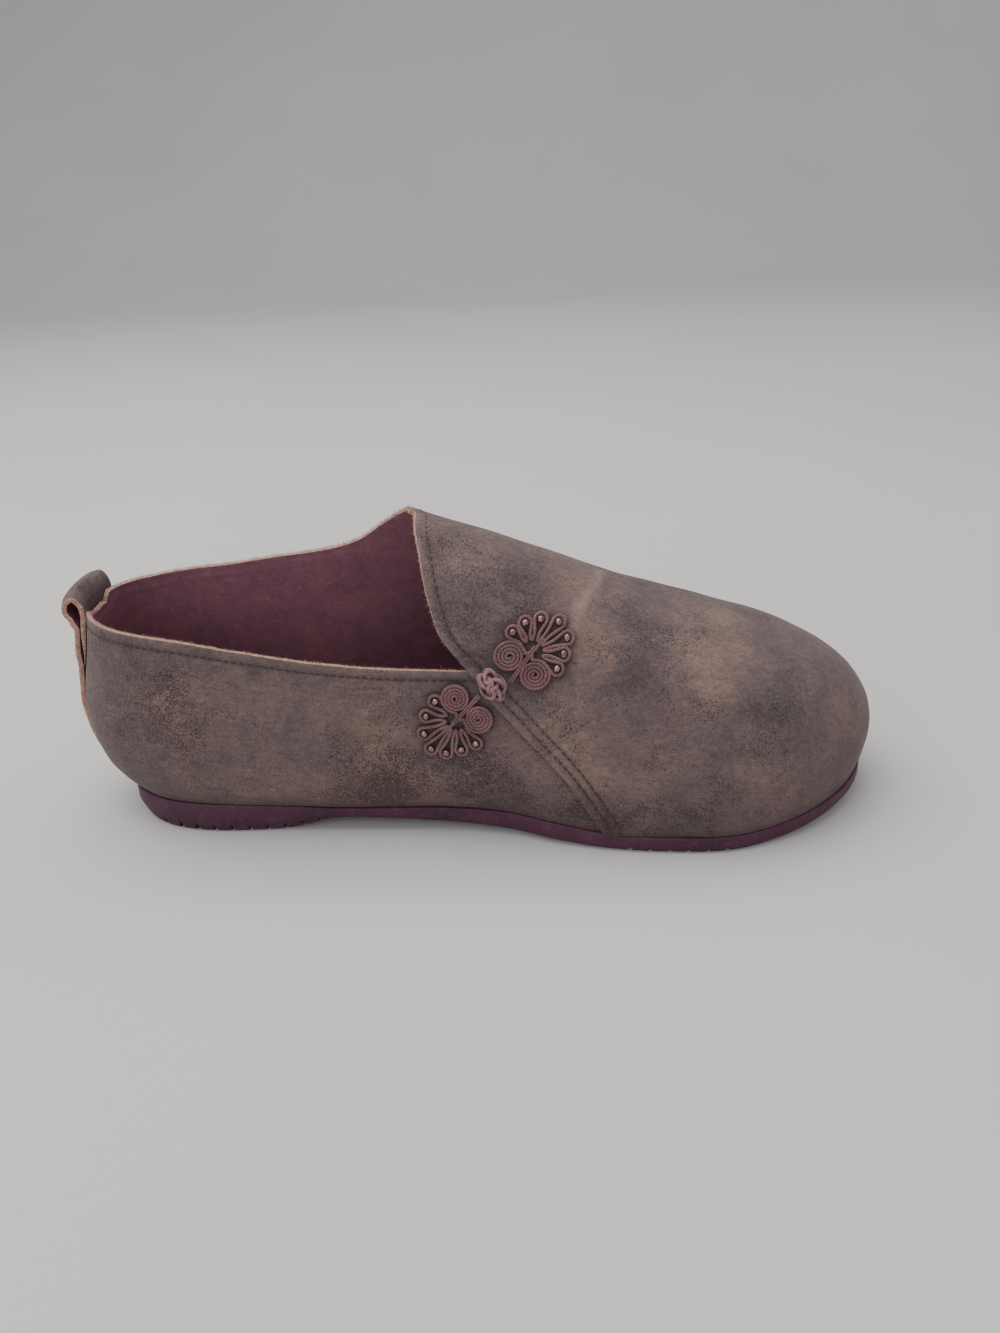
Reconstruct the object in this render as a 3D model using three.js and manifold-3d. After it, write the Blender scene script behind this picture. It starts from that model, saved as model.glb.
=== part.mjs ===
// A flat slip-on shoe for the right foot, of soft leather on a thin rubber sole.
// A vamp laps over the outer quarter along a slanting seam, a knotted cord frog with beads sits on
// that lap, and a strip of leather runs up the back of the heel and folds into a pull loop.
// Millimetres. x runs from heel to toe, y from the outer side (-) to the inner side (+), z up.
import * as THREE from "three";
import Module from "manifold-3d";

const wasm = await Module();
wasm.setup();

// Driving sizes
const soleLength = 245;
const ballBreadth = 90;
const toeShift = 4;
const heelHeight = 10.8;
const archRise = 4.9;
const toeSpring = 6;
const edgeDraft = 1;
const soleMargin = 0.6;
const backHeight = 71.5;
const peakHeight = 98;
const heelOverhang = 14.6;
const toeSetback = 0.5;
const footSetback = 3;
const wall = 1.5;
const lapStep = 1.3;
const lapFade = 22;
const insoleThickness = 3;
const clearance = 0.3;
const notchWidth = 1.4;
const notchDepth = 1.2;
const notchPitch = 5.9;
const notchReach = 9;
const stripWidth = 22;
const stripThickness = 1.5;
const stripGap = 0.35;
const loopHeight = 72;
const loopTilt = 0.05;
const cordHeight = 1.3;
const cordBreadth = 1;
const beadDiameter = 2;
const loopEndRadius = 1.8;
const knotLength = 10.5;
const knotBreadth = 7.6;
const knotHeight = 5.4;

// Small helpers
const clamp = (v, low, high) => Math.min(high, Math.max(low, v));
const mix = (a, b, t) => a + (b - a) * t;
const ease = (t) => {
  const c = clamp(t, 0, 1);
  return c * c * (3 - 2 * c);
};

// A smooth curve through the rows of a table: column `key` against column `at`. It never overshoots
// its rows, so equal rows give a flat stretch.
function curve(table, key) {
  const rise = table
    .slice(1)
    .map((row, i) => (row[key] - table[i][key]) / (row.at - table[i].at));
  const slope = table.map((_, i) => {
    if (i === 0) return rise[0];
    if (i === table.length - 1) return rise.at(-1);
    const product = rise[i - 1] * rise[i];
    return product > 0 ? (2 * product) / (rise[i - 1] + rise[i]) : 0;
  });
  return (at) => {
    const u = clamp(at, table[0].at, table.at(-1).at);
    let i = 0;
    while (i < table.length - 2 && u > table[i + 1].at) i += 1;
    const span = table[i + 1].at - table[i].at;
    const t = (u - table[i].at) / span;
    const h = t * t * (3 - 2 * t);
    return (
      table[i][key] * (1 - h) +
      table[i + 1][key] * h +
      span * t * (1 - t) * (slope[i] * (1 - t) - slope[i + 1] * t)
    );
  };
}

// Half breadths of the last, as shares of half the ball breadth, before its ends are rounded.
// "foot" is the bottom edge of the upper and "belly" its widest level.
const breadths = [
  { at: 0.0, footOuter: 0.65, footInner: 0.65, bellyOuter: 0.7, bellyInner: 0.7 },
  { at: 0.14, footOuter: 0.65, footInner: 0.64, bellyOuter: 0.73, bellyInner: 0.71 },
  { at: 0.23, footOuter: 0.64, footInner: 0.6, bellyOuter: 0.73, bellyInner: 0.69 },
  { at: 0.3, footOuter: 0.66, footInner: 0.56, bellyOuter: 0.74, bellyInner: 0.68 },
  { at: 0.41, footOuter: 0.67, footInner: 0.53, bellyOuter: 0.76, bellyInner: 0.7 },
  { at: 0.5, footOuter: 0.725, footInner: 0.6, bellyOuter: 0.81, bellyInner: 0.76 },
  { at: 0.575, footOuter: 0.865, footInner: 0.73, bellyOuter: 0.89, bellyInner: 0.83 },
  { at: 0.64, footOuter: 0.955, footInner: 0.85, bellyOuter: 0.965, bellyInner: 0.91 },
  { at: 0.72, footOuter: 1.02, footInner: 0.95, bellyOuter: 1.035, bellyInner: 0.98 },
  { at: 0.82, footOuter: 1.06, footInner: 0.95, bellyOuter: 1.075, bellyInner: 0.98 },
  { at: 1.0, footOuter: 1.06, footInner: 0.93, bellyOuter: 1.075, bellyInner: 0.95 },
];
const breadthCurves = {};
for (const key of ["footOuter", "footInner", "bellyOuter", "bellyInner"])
  breadthCurves[key] = curve(breadths, key);

// Levels along the shoe. "under" is the sole's underside as a share of the arch rise, "over" the
// top of its edge as a share of the heel height, "spring" the lift of both at the toe; "belly" and
// "crest" are shares of the peak height.
const levels = [
  { at: -0.1, under: 0.7, over: 1, spring: 0, belly: 0.42, crest: 1.47 },
  { at: 0.0, under: 0.35, over: 1, spring: 0, belly: 0.4, crest: 1.42 },
  { at: 0.035, under: 0.06, over: 1, spring: 0, belly: 0.39, crest: 1.39 },
  { at: 0.06, under: 0, over: 1, spring: 0, belly: 0.385, crest: 1.37 },
  { at: 0.1, under: 0, over: 1, spring: 0, belly: 0.375, crest: 1.34 },
  { at: 0.16, under: 0, over: 0.955, spring: 0, belly: 0.355, crest: 1.3 },
  { at: 0.2, under: 0.05, over: 0.905, spring: 0, belly: 0.338, crest: 1.254 },
  { at: 0.23, under: 0.24, over: 0.86, spring: 0, belly: 0.325, crest: 1.22 },
  { at: 0.25, under: 0.5, over: 0.845, spring: 0, belly: 0.315, crest: 1.19 },
  { at: 0.27, under: 0.85, over: 0.83, spring: 0, belly: 0.305, crest: 1.165 },
  { at: 0.3, under: 1, over: 0.825, spring: 0, belly: 0.29, crest: 1.12 },
  { at: 0.36, under: 0.9, over: 0.83, spring: 0, belly: 0.27, crest: 1.04 },
  { at: 0.42, under: 0.7, over: 0.845, spring: 0, belly: 0.25, crest: 0.977 },
  { at: 0.51, under: 0.43, over: 0.81, spring: 0, belly: 0.225, crest: 0.899 },
  { at: 0.575, under: 0.24, over: 0.71, spring: 0, belly: 0.21, crest: 0.828 },
  { at: 0.63, under: 0.07, over: 0.57, spring: 0, belly: 0.205, crest: 0.764 },
  { at: 0.68, under: 0, over: 0.52, spring: 0, belly: 0.2, crest: 0.714 },
  { at: 0.78, under: 0, over: 0.52, spring: 0, belly: 0.2, crest: 0.63 },
  { at: 0.86, under: 0, over: 0.52, spring: 0.18, belly: 0.205, crest: 0.567 },
  { at: 0.93, under: 0, over: 0.52, spring: 0.5, belly: 0.215, crest: 0.52 },
  { at: 1.02, under: 0, over: 0.52, spring: 1.05, belly: 0.225, crest: 0.48 },
];
const levelCurves = {};
for (const key of ["under", "over", "spring", "belly", "crest"])
  levelCurves[key] = curve(levels, key);

const level = (key, x) => levelCurves[key](x / soleLength);
const soleBottomZ = (x) => archRise * level("under", x) + toeSpring * level("spring", x);
const soleTopZ = (x) => heelHeight * level("over", x) + toeSpring * level("spring", x);
const bellyZ = (x) => peakHeight * level("belly", x);

// The ends of the last: the heel's back profile, the rounding at heel and toe, and the toe's crest.
const heelRoundStart = 0.15;
const toeRoundStart = 0.735;
const crestRoundStart = 0.83;
const heelRoundPower = 2.4;
const toeRoundPower = 2;
const crestRoundPower = 2.3;
const backProfile = [
  { at: 0.1, out: 0.05 },
  { at: 0.15, out: 0.22 },
  { at: 0.21, out: 0.56 },
  { at: 0.28, out: 0.8 },
  { at: 0.41, out: 0.97 },
  { at: 0.52, out: 1 },
  { at: 0.64, out: 0.92 },
  { at: 0.8, out: 0.71 },
  { at: 1.0, out: 0.49 },
  { at: 1.2, out: 0.3 },
];
const backCurve = curve(backProfile, "out");
const backX = (z) => -heelOverhang * backCurve(z / backHeight);
const toeTipX = soleLength - toeSetback;
const footTipX = soleLength - footSetback;

function tipX(z) {
  const widest = bellyZ(soleLength);
  const foot = soleTopZ(soleLength);
  const down = clamp((widest - z) / (widest - foot), 0, 1);
  return mix(toeTipX, footTipX, down * down);
}

const roundOff = (share, power) => (1 - clamp(share, 0, 1) ** power) ** (1 / power);

function crestZ(x) {
  const start = crestRoundStart * soleLength;
  const open = peakHeight * level("crest", x);
  if (x <= start) return open;
  const share = roundOff((x - start) / (toeTipX - start), crestRoundPower);
  return mix(bellyZ(x), open, share);
}

const axisY = (x) => toeShift * ease((x / soleLength - 0.5) / 0.45);

// Distance from the shoe's axis to the outside of the upper, at station x, height z.
const sectionPower = 2.15;
function halfWidth(x, z, outer) {
  const back = backX(z);
  const tip = tipX(z);
  if (x <= back || x >= tip) return 0;
  const foot = soleTopZ(x);
  const belly = bellyZ(x);
  const side = outer ? "Outer" : "Inner";
  const share = x / soleLength;
  const rise = Math.sin((clamp((z - foot) / (belly - foot), 0, 1) * Math.PI) / 2);
  let w = mix(breadthCurves["foot" + side](share), breadthCurves["belly" + side](share), rise);
  w *= ballBreadth / 2;
  const heel = heelRoundStart * soleLength;
  if (x < heel) w *= roundOff((heel - x) / (heel - back), heelRoundPower);
  const toe = toeRoundStart * soleLength;
  if (x > toe) w *= roundOff((x - toe) / (tip - toe), toeRoundPower);
  if (z > belly) w *= roundOff((z - belly) / (crestZ(x) - belly), sectionPower);
  return w;
}

// How far a point lies outside the last: below 0 inside it, above 0 outside.
function outside(p) {
  const off = p.y - axisY(p.x);
  return Math.abs(off) - halfWidth(p.x, p.z, off < 0);
}

// A line inside the last, from which each ray meets its surface once.
const spineBack = 0.15;
const spineFront = 0.84;
function spine(x) {
  const cx = clamp(x, spineBack * soleLength, spineFront * soleLength);
  const t = (cx / soleLength - spineBack) / (spineFront - spineBack);
  return new THREE.Vector3(cx, axisY(cx), peakHeight * mix(0.42, 0.25, t));
}

// Where the ray from an inside point meets the last.
const searchReach = 160;
const searchSteps = 40;
function castOut(from, direction) {
  let low = 0;
  let high = searchReach;
  for (let i = 0; i < searchSteps; i += 1) {
    const r = (low + high) / 2;
    if (outside(from.clone().addScaledVector(direction, r)) < 0) low = r;
    else high = r;
  }
  return from.clone().addScaledVector(direction, (low + high) / 2);
}

const probe = 0.4;
function normalAt(p) {
  const along = (axis) => {
    const step = new THREE.Vector3().setComponent(axis, probe);
    return outside(p.clone().add(step)) - outside(p.clone().sub(step));
  };
  const n = new THREE.Vector3(along(0), along(1), along(2));
  if (n.lengthSq() < 1e-9) n.subVectors(p, spine(p.x));
  return n.normalize();
}

// A surface point kept as the spine point and the direction that lead to it.
function aim(p) {
  const from = spine(p.x);
  return { x: from.x, direction: p.clone().sub(from).normalize() };
}

const onSide = (x, z, outer) =>
  new THREE.Vector3(x, axisY(x) + (outer ? -1 : 1) * halfWidth(x, z, outer), z);
const onBack = (z) => new THREE.Vector3(backX(z) + 0.01, 0, z);
const onCrest = (x) => new THREE.Vector3(x, axisY(x), crestZ(x) - 0.01);

// The upper stands just clear of the sole.
const footZ = (x) => soleTopZ(x) + clearance;

// The top edge of the upper, as shares of the sole length and of the peak height. It starts at the
// back of the heel and runs along the outer rim to the corner, up the throat to the peak, then back
// down the inner rim.
const outerRim = [
  { at: 0.0, x: -0.03, z: 0.732 },
  { at: 0.12, x: 0.0, z: 0.728 },
  { at: 0.3, x: 0.1, z: 0.712 },
  { at: 0.45, x: 0.19, z: 0.668 },
  { at: 0.6, x: 0.28, z: 0.624 },
  { at: 0.8, x: 0.39, z: 0.594 },
  { at: 1.0, x: 0.476, z: 0.586 },
];
const throat = [
  { at: 0.0, x: 0.476, z: 0.586 },
  { at: 0.14, x: 0.455, z: 0.635 },
  { at: 0.28, x: 0.438, z: 0.692 },
  { at: 0.44, x: 0.4285, z: 0.764 },
  { at: 0.6, x: 0.421, z: 0.836 },
  { at: 0.78, x: 0.415, z: 0.915 },
  { at: 0.9, x: 0.409, z: 0.968 },
  { at: 1.0, x: 0.405, z: 1.01 },
];
const innerRim = [
  { at: 0.0, x: 0.405, z: 1.01 },
  { at: 0.05, x: 0.392, z: 0.98 },
  { at: 0.1, x: 0.379, z: 0.956 },
  { at: 0.22, x: 0.345, z: 0.89 },
  { at: 0.31, x: 0.313, z: 0.832 },
  { at: 0.4, x: 0.27, z: 0.793 },
  { at: 0.52, x: 0.193, z: 0.76 },
  { at: 0.68, x: 0.1, z: 0.728 },
  { at: 0.84, x: 0.02, z: 0.724 },
  { at: 1.0, x: -0.03, z: 0.732 },
];

// Many points along a stretch of the edge, closer together near its two ends.
const edgeSteps = 300;
function stretch(rows, outer) {
  const x = curve(rows, "x");
  const z = curve(rows, "z");
  return Array.from({ length: edgeSteps + 1 }, (_, i) => {
    const at = (1 - Math.cos((Math.PI * i) / edgeSteps)) / 2;
    const level = peakHeight * z(at);
    const along = Math.max(soleLength * x(at), backX(level) + 0.005);
    return onSide(along, Math.min(level, crestZ(along) - 0.005), outer);
  });
}

// Points spread evenly by length along a run of close points.
function spread(points, count) {
  const reach = [0];
  for (let i = 1; i < points.length; i += 1)
    reach.push(reach[i - 1] + points[i].distanceTo(points[i - 1]));
  let j = 1;
  return Array.from({ length: count + 1 }, (_, i) => {
    const want = (reach.at(-1) * i) / count;
    while (j < points.length - 1 && reach[j] < want) j += 1;
    const t = (want - reach[j - 1]) / (reach[j] - reach[j - 1]);
    return points[j - 1].clone().lerp(points[j], clamp(t, 0, 1));
  });
}

// The bottom edge from one station to another.
function footStretch(from, to, outer) {
  return Array.from({ length: edgeSteps + 1 }, (_, i) => {
    const x = mix(from, to, (1 - Math.cos((Math.PI * i) / edgeSteps)) / 2);
    return onSide(x, footZ(x), outer);
  });
}

// The lap seam on the outer side: station against height, from the bottom edge to the corner.
const seam = [
  { at: 0.05, x: 0.635 },
  { at: 0.12, x: 0.62 },
  { at: 0.18, x: 0.6055 },
  { at: 0.24, x: 0.59 },
  { at: 0.3, x: 0.571 },
  { at: 0.36, x: 0.549 },
  { at: 0.43, x: 0.524 },
  { at: 0.48, x: 0.505 },
  { at: 0.535, x: 0.488 },
  { at: 0.586, x: 0.476 },
];
const seamCurve = curve(seam, "x");
const seamX = (z) => soleLength * seamCurve(z / peakHeight);
const corner = { x: soleLength * outerRim.at(-1).x, z: peakHeight * outerRim.at(-1).z };
const seamFootX = seamX(soleTopZ(0.612 * soleLength));
const innerFootX = 0.62 * soleLength;
const innerTurnAt = 0.3;

// The vamp stands proud of the quarter along the seam by the thickness of the lapped leather.
function lapAhead(x, z) {
  if (z > corner.z) return Math.hypot(x - corner.x, z - corner.z);
  return x - seamX(z);
}
const lapHeight = (ahead) => lapStep * (1 - ease(ahead / lapFade));

// Columns of the upper in four runs, each between matching points of its two edges.
const runs = { rim: 22, throat: 16, innerThroat: 14, innerRim: 21 };
const rows = 13;
function columns() {
  const backFoot = backX(footZ(0)) + 0.005;
  const tipFoot = tipX(footZ(soleLength)) - 0.005;
  const inner = stretch(innerRim, false);
  const cut = Math.round((edgeSteps * Math.acos(1 - 2 * innerTurnAt)) / Math.PI);
  const parts = [
    [footStretch(backFoot, seamFootX, true), stretch(outerRim, true), runs.rim],
    [footStretch(seamFootX, tipFoot, true), stretch(throat, true), runs.throat],
    [footStretch(tipFoot, innerFootX, false), inner.slice(0, cut + 1), runs.innerThroat],
    [footStretch(innerFootX, backFoot, false), inner.slice(cut), runs.innerRim],
  ];
  return parts.flatMap(([foot, top, count]) => {
    const bottoms = spread(foot, count);
    const tops = spread(top, count);
    return bottoms.slice(0, count).map((b, i) => ({ bottom: b, top: tops[i] }));
  });
}

// One rib of the upper from its bottom edge to its top edge, in even steps along the surface.
const ribSteps = 60;
function rib({ bottom, top }) {
  const a = aim(bottom);
  const b = aim(top);
  const angle = a.direction.angleTo(b.direction);
  const fine = Array.from({ length: ribSteps + 1 }, (_, i) => {
    if (i === 0) return bottom.clone();
    if (i === ribSteps) return top.clone();
    const t = i / ribSteps;
    const direction = a.direction
      .clone()
      .multiplyScalar(Math.sin((1 - t) * angle) / Math.sin(angle))
      .addScaledVector(b.direction, Math.sin(t * angle) / Math.sin(angle));
    return castOut(spine(mix(a.x, b.x, t)), direction.normalize());
  });
  return spread(fine, rows);
}

// The grid of the upper's outside, with the ribs near the seam drawn on to it.
const seamSpread = 9;
function outsideGrid() {
  const grid = columns().map(rib);
  const seamRib = grid[runs.rim].map((p) => seamX(p.z) - p.x);
  for (let c = runs.rim - seamSpread; c <= runs.rim + seamSpread; c += 1) {
    const near = Math.cos(((c - runs.rim) / (seamSpread + 1)) * (Math.PI / 2)) ** 2;
    grid[c] = grid[c].map((p, r) => {
      if (r === 0 || r === rows) return p;
      return onSide(p.x + near * seamRib[r], p.z, true);
    });
  }
  return grid;
}

// A closed body from a ring of columns of outer points and a matching ring of inner points.
function shellBody(outer, inner) {
  const count = outer.length;
  const depth = outer[0].length;
  const position = [...outer.flat(), ...inner.flat()].flatMap((p) => [p.x, p.y, p.z]);
  const index = [];
  const at = (side, c, r) => side * count * depth + (c % count) * depth + r;
  const quad = (a, b, c, d) => index.push(a, b, c, a, c, d);
  for (let c = 0; c < count; c += 1) {
    for (let r = 0; r < depth - 1; r += 1) {
      quad(at(0, c, r), at(0, c + 1, r), at(0, c + 1, r + 1), at(0, c, r + 1));
      quad(at(1, c, r), at(1, c, r + 1), at(1, c + 1, r + 1), at(1, c + 1, r));
    }
    quad(at(0, c, depth - 1), at(0, c + 1, depth - 1), at(1, c + 1, depth - 1), at(1, c, depth - 1));
    quad(at(0, c, 0), at(1, c, 0), at(1, c + 1, 0), at(0, c + 1, 0));
  }
  return solid(position, index);
}

// A closed surface as a buffer geometry, turned to face outwards.
function solid(position, index) {
  let volume = 0;
  const v = (i) => new THREE.Vector3().fromArray(position, 3 * i);
  for (let i = 0; i < index.length; i += 3)
    volume += v(index[i]).dot(v(index[i + 1]).cross(v(index[i + 2])));
  const facing = volume > 0 ? index : index.slice().reverse();
  const geometry = new THREE.BufferGeometry();
  geometry.setAttribute("position", new THREE.Float32BufferAttribute(position, 3));
  geometry.setIndex(facing);
  return geometry;
}

function upper() {
  const base = outsideGrid();
  const outer = [];
  const inner = [];
  base.forEach((column, c) => {
    const lapped = c >= runs.rim && c < runs.rim + runs.throat;
    const normals = column.map(normalAt);
    const place = (height) =>
      column.map((p, r) => p.clone().addScaledVector(normals[r], height(p)));
    const back = column.map((p, r) => {
      const n = normals[r].clone();
      if (r === 0) n.setZ(0).normalize();
      return p.clone().addScaledVector(n, -wall);
    });
    if (c === runs.rim) {
      outer.push(column);
      inner.push(back);
      const shifted = back.map((p, r) => p.clone().lerp(base[c + 1][r], 0.01));
      inner.push(shifted);
    } else inner.push(back);
    outer.push(lapped ? place((p) => lapHeight(Math.max(lapAhead(p.x, p.z), 0))) : column);
  });
  return shellBody(outer, inner);
}

// A slab that follows the shoe's length, from left and right edge points in pairs.
// Each ring gives the inset of the edge and the height at a station.
function slab(outline, rings) {
  const last = outline.length - 1;
  const position = [];
  const index = [];
  const wide = rings.length;
  outline.forEach((pair) => {
    for (const side of [0, 1])
      for (const ring of rings) {
        const { point, normal } = pair[side];
        const p = point.clone().addScaledVector(normal, -ring.inset);
        position.push(p.x, p.y, ring.z(p.x));
      }
  });
  const at = (i, side, k) => i * 2 * wide + side * wide + k;
  const quad = (a, b, c, d) => index.push(a, b, c, a, c, d);
  for (let i = 0; i < last; i += 1) {
    for (let k = 0; k < wide - 1; k += 1) {
      quad(at(i, 0, k), at(i + 1, 0, k), at(i + 1, 0, k + 1), at(i, 0, k + 1));
      quad(at(i, 1, k), at(i, 1, k + 1), at(i + 1, 1, k + 1), at(i + 1, 1, k));
    }
    quad(at(i, 0, wide - 1), at(i + 1, 0, wide - 1), at(i + 1, 1, wide - 1), at(i, 1, wide - 1));
    quad(at(i, 0, 0), at(i, 1, 0), at(i + 1, 1, 0), at(i + 1, 0, 0));
  }
  for (let k = 0; k < wide - 1; k += 1) {
    quad(at(0, 0, k), at(0, 0, k + 1), at(0, 1, k + 1), at(0, 1, k));
    quad(at(last, 0, k), at(last, 1, k), at(last, 1, k + 1), at(last, 0, k + 1));
  }
  return solid(position, index);
}

// Edge points of the bottom edge in pairs, outer and inner, with their level normals.
function footPairs(count) {
  const backEnd = backX(footZ(0)) + 0.04;
  const tipEnd = tipX(footZ(soleLength)) - 0.04;
  return Array.from({ length: count + 1 }, (_, i) => {
    const x = mix(backEnd, tipEnd, (1 - Math.cos((Math.PI * i) / count)) / 2);
    return [true, false].map((outer) => {
      const point = onSide(x, footZ(x), outer);
      const normal = normalAt(point).setZ(0).normalize();
      return { point, normal };
    });
  });
}

function manifold(geometry) {
  return new wasm.Manifold(
    new wasm.Mesh({
      numProp: 3,
      vertProperties: new Float32Array(geometry.getAttribute("position").array),
      triVerts: new Uint32Array(geometry.index.array),
    }),
  );
}

function fromManifold(body) {
  const mesh = body.getMesh();
  const position = [];
  for (let i = 0; i < mesh.numVert; i += 1)
    for (let k = 0; k < 3; k += 1) position.push(mesh.vertProperties[i * mesh.numProp + k]);
  const geometry = new THREE.BufferGeometry();
  geometry.setAttribute("position", new THREE.Float32BufferAttribute(position, 3));
  geometry.setIndex(Array.from(mesh.triVerts));
  return geometry;
}

// The rubber sole: drawn in below, upright above, with tread notches along both edges of the heel
// and the ball.
const soleStations = 44;
const notchRuns = [
  { from: 0.045, to: 0.262, depth: 1 },
  { from: 0.665, to: 0.8, depth: 0.7 },
];
function outsole() {
  const rings = [
    { inset: edgeDraft - soleMargin, z: soleBottomZ },
    { inset: -soleMargin, z: (x) => mix(soleBottomZ(x), soleTopZ(x), 0.35) },
    { inset: -soleMargin, z: soleTopZ },
  ];
  let body = manifold(slab(footPairs(soleStations), rings));
  for (const run of notchRuns)
    for (let x = run.from * soleLength; x < run.to * soleLength; x += notchPitch)
      for (const outer of [true, false]) {
        const edge = onSide(x, footZ(x), outer).y;
        const y = edge - Math.sign(edge) * (notchReach / 2 - 3);
        const size = [notchWidth, notchReach + 6, 2 * notchDepth * run.depth];
        body = body.subtract(
          wasm.Manifold.cube(size, true).translate([x, y, soleBottomZ(x)]),
        );
      }
  return fromManifold(body);
}

const insoleStations = 34;
function insole() {
  const rings = [
    { inset: wall + clearance + 0.2, z: (x) => soleTopZ(x) + clearance },
    { inset: wall + clearance + 0.2, z: (x) => soleTopZ(x) + clearance + insoleThickness },
  ];
  return slab(footPairs(insoleStations), rings);
}

// The strip up the back of the heel. It runs up as one layer, stands off as the outer of two
// layers, goes round the loop and comes down again against the quarter.
const single = stripGap + stripThickness / 2;
const double = single + stripThickness + stripGap;
const stripRows = [
  { at: 0.0, up: -59.6, off: single, width: 0.62 },
  { at: 0.07, up: -53, off: single, width: 0.68 },
  { at: 0.23, up: -37, off: single, width: 0.79 },
  { at: 0.32, up: -28, off: single, width: 0.85 },
  { at: 0.385, up: -21.5, off: double, width: 0.89 },
  { at: 0.46, up: -14.5, off: double, width: 0.94 },
  { at: 0.54, up: -7, off: double, width: 1 },
  { at: 0.59, up: -3.6, off: 5.2, width: 1 },
  { at: 0.64, up: 0, off: 7.4, width: 1 },
  { at: 0.685, up: 2.9, off: 6.6, width: 1 },
  { at: 0.725, up: 3.8, off: 4.3, width: 1 },
  { at: 0.765, up: 2.6, off: 2.1, width: 1 },
  { at: 0.8, up: 0, off: single, width: 1 },
  { at: 1.0, up: -19.5, off: single, width: 0.92 },
];
const stripUp = curve(stripRows, "up");
const stripOff = curve(stripRows, "off");
const stripShare = curve(stripRows, "width");
const stripStations = [
  ...[0, 0.04, 0.09, 0.14, 0.19, 0.23, 0.27, 0.305, 0.33, 0.355, 0.385, 0.42, 0.46, 0.5, 0.53],
  ...[0.555, 0.58, 0.605, 0.625, 0.645, 0.665, 0.685, 0.7, 0.715, 0.73, 0.745, 0.76, 0.78, 0.8],
  ...[0.84, 0.88, 0.92, 0.96, 1],
];
const stripAcross = 6;

// A point of the strip's middle layer: share t along it, share q across it from -1 to 1.
function stripPoint(t, q) {
  const y = (q * stripWidth * stripShare(t)) / 2;
  const z = loopHeight + stripUp(t);
  const from = new THREE.Vector3(soleLength * 0.13, y, Math.min(z, backHeight - 1.5));
  const p = castOut(from, new THREE.Vector3(-1, 0, 0));
  const off = stripOff(t);
  const straight = ease((off - double) / 3);
  const out = normalAt(p).lerp(new THREE.Vector3(-1, 0, 0), straight).normalize();
  p.addScaledVector(out, off);
  p.z = z + out.z * off * (1 - straight) + loopTilt * y * straight;
  p.x -= loopTilt * y * straight;
  return p;
}

function strip() {
  const front = [];
  const back = [];
  const step = 0.004;
  for (const t of stripStations) {
    const outer = [];
    const inner = [];
    for (let k = 0; k <= stripAcross; k += 1) {
      const q = (2 * k) / stripAcross - 1;
      const along = stripPoint(Math.min(t + step, 1), q).sub(stripPoint(Math.max(t - step, 0), q));
      const across = stripPoint(t, q + 0.05).sub(stripPoint(t, q - 0.05));
      const n = along.cross(across).normalize().multiplyScalar(stripThickness / 2);
      outer.push(stripPoint(t, q).add(n));
      inner.push(stripPoint(t, q).sub(n));
    }
    front.push(outer);
    back.push(inner);
  }
  return sheetBody(front, back);
}

// A closed body between two matching open sheets of points.
function sheetBody(front, back) {
  const long = front.length;
  const wide = front[0].length;
  const position = [...front.flat(), ...back.flat()].flatMap((p) => [p.x, p.y, p.z]);
  const index = [];
  const at = (side, i, k) => side * long * wide + i * wide + k;
  const quad = (a, b, c, d) => index.push(a, b, c, a, c, d);
  for (let i = 0; i < long - 1; i += 1) {
    for (let k = 0; k < wide - 1; k += 1) {
      quad(at(0, i, k), at(0, i + 1, k), at(0, i + 1, k + 1), at(0, i, k + 1));
      quad(at(1, i, k), at(1, i, k + 1), at(1, i + 1, k + 1), at(1, i + 1, k));
    }
    quad(at(0, i, 0), at(1, i, 0), at(1, i + 1, 0), at(0, i + 1, 0));
    const e = wide - 1;
    quad(at(0, i, e), at(0, i + 1, e), at(1, i + 1, e), at(1, i, e));
  }
  for (let k = 0; k < wide - 1; k += 1) {
    quad(at(0, 0, k), at(0, 0, k + 1), at(1, 0, k + 1), at(1, 0, k));
    const e = long - 1;
    quad(at(0, e, k), at(1, e, k), at(1, e, k + 1), at(0, e, k + 1));
  }
  return solid(position, index);
}

// The frog lies on the upper: a along it from rear to front, b across it, h up from the leather.
const frogAt = { x: 0.502, z: 0.543, slope: 39 };
const frogOrigin = onSide(soleLength * frogAt.x, peakHeight * frogAt.z, true);
const frogUp = normalAt(frogOrigin);
const slope = THREE.MathUtils.degToRad(frogAt.slope);
const frogAlong = new THREE.Vector3(Math.cos(slope), 0, Math.sin(slope));
frogAlong.addScaledVector(frogUp, -frogAlong.dot(frogUp)).normalize();
const frogAcross = new THREE.Vector3().crossVectors(frogAlong, frogUp).normalize();
const castBack = 26;
function bend(a, b, h) {
  const from = frogOrigin
    .clone()
    .addScaledVector(frogAlong, a)
    .addScaledVector(frogAcross, b)
    .addScaledVector(frogUp, -castBack);
  const p = castOut(from, frogUp);
  const ahead = lapAhead(p.x, p.z);
  const raised = ahead >= 0 ? lapHeight(ahead) : lapStep * (1 - ease(-ahead / 4));
  return p.clone().addScaledVector(normalAt(p), h + raised);
}

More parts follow.
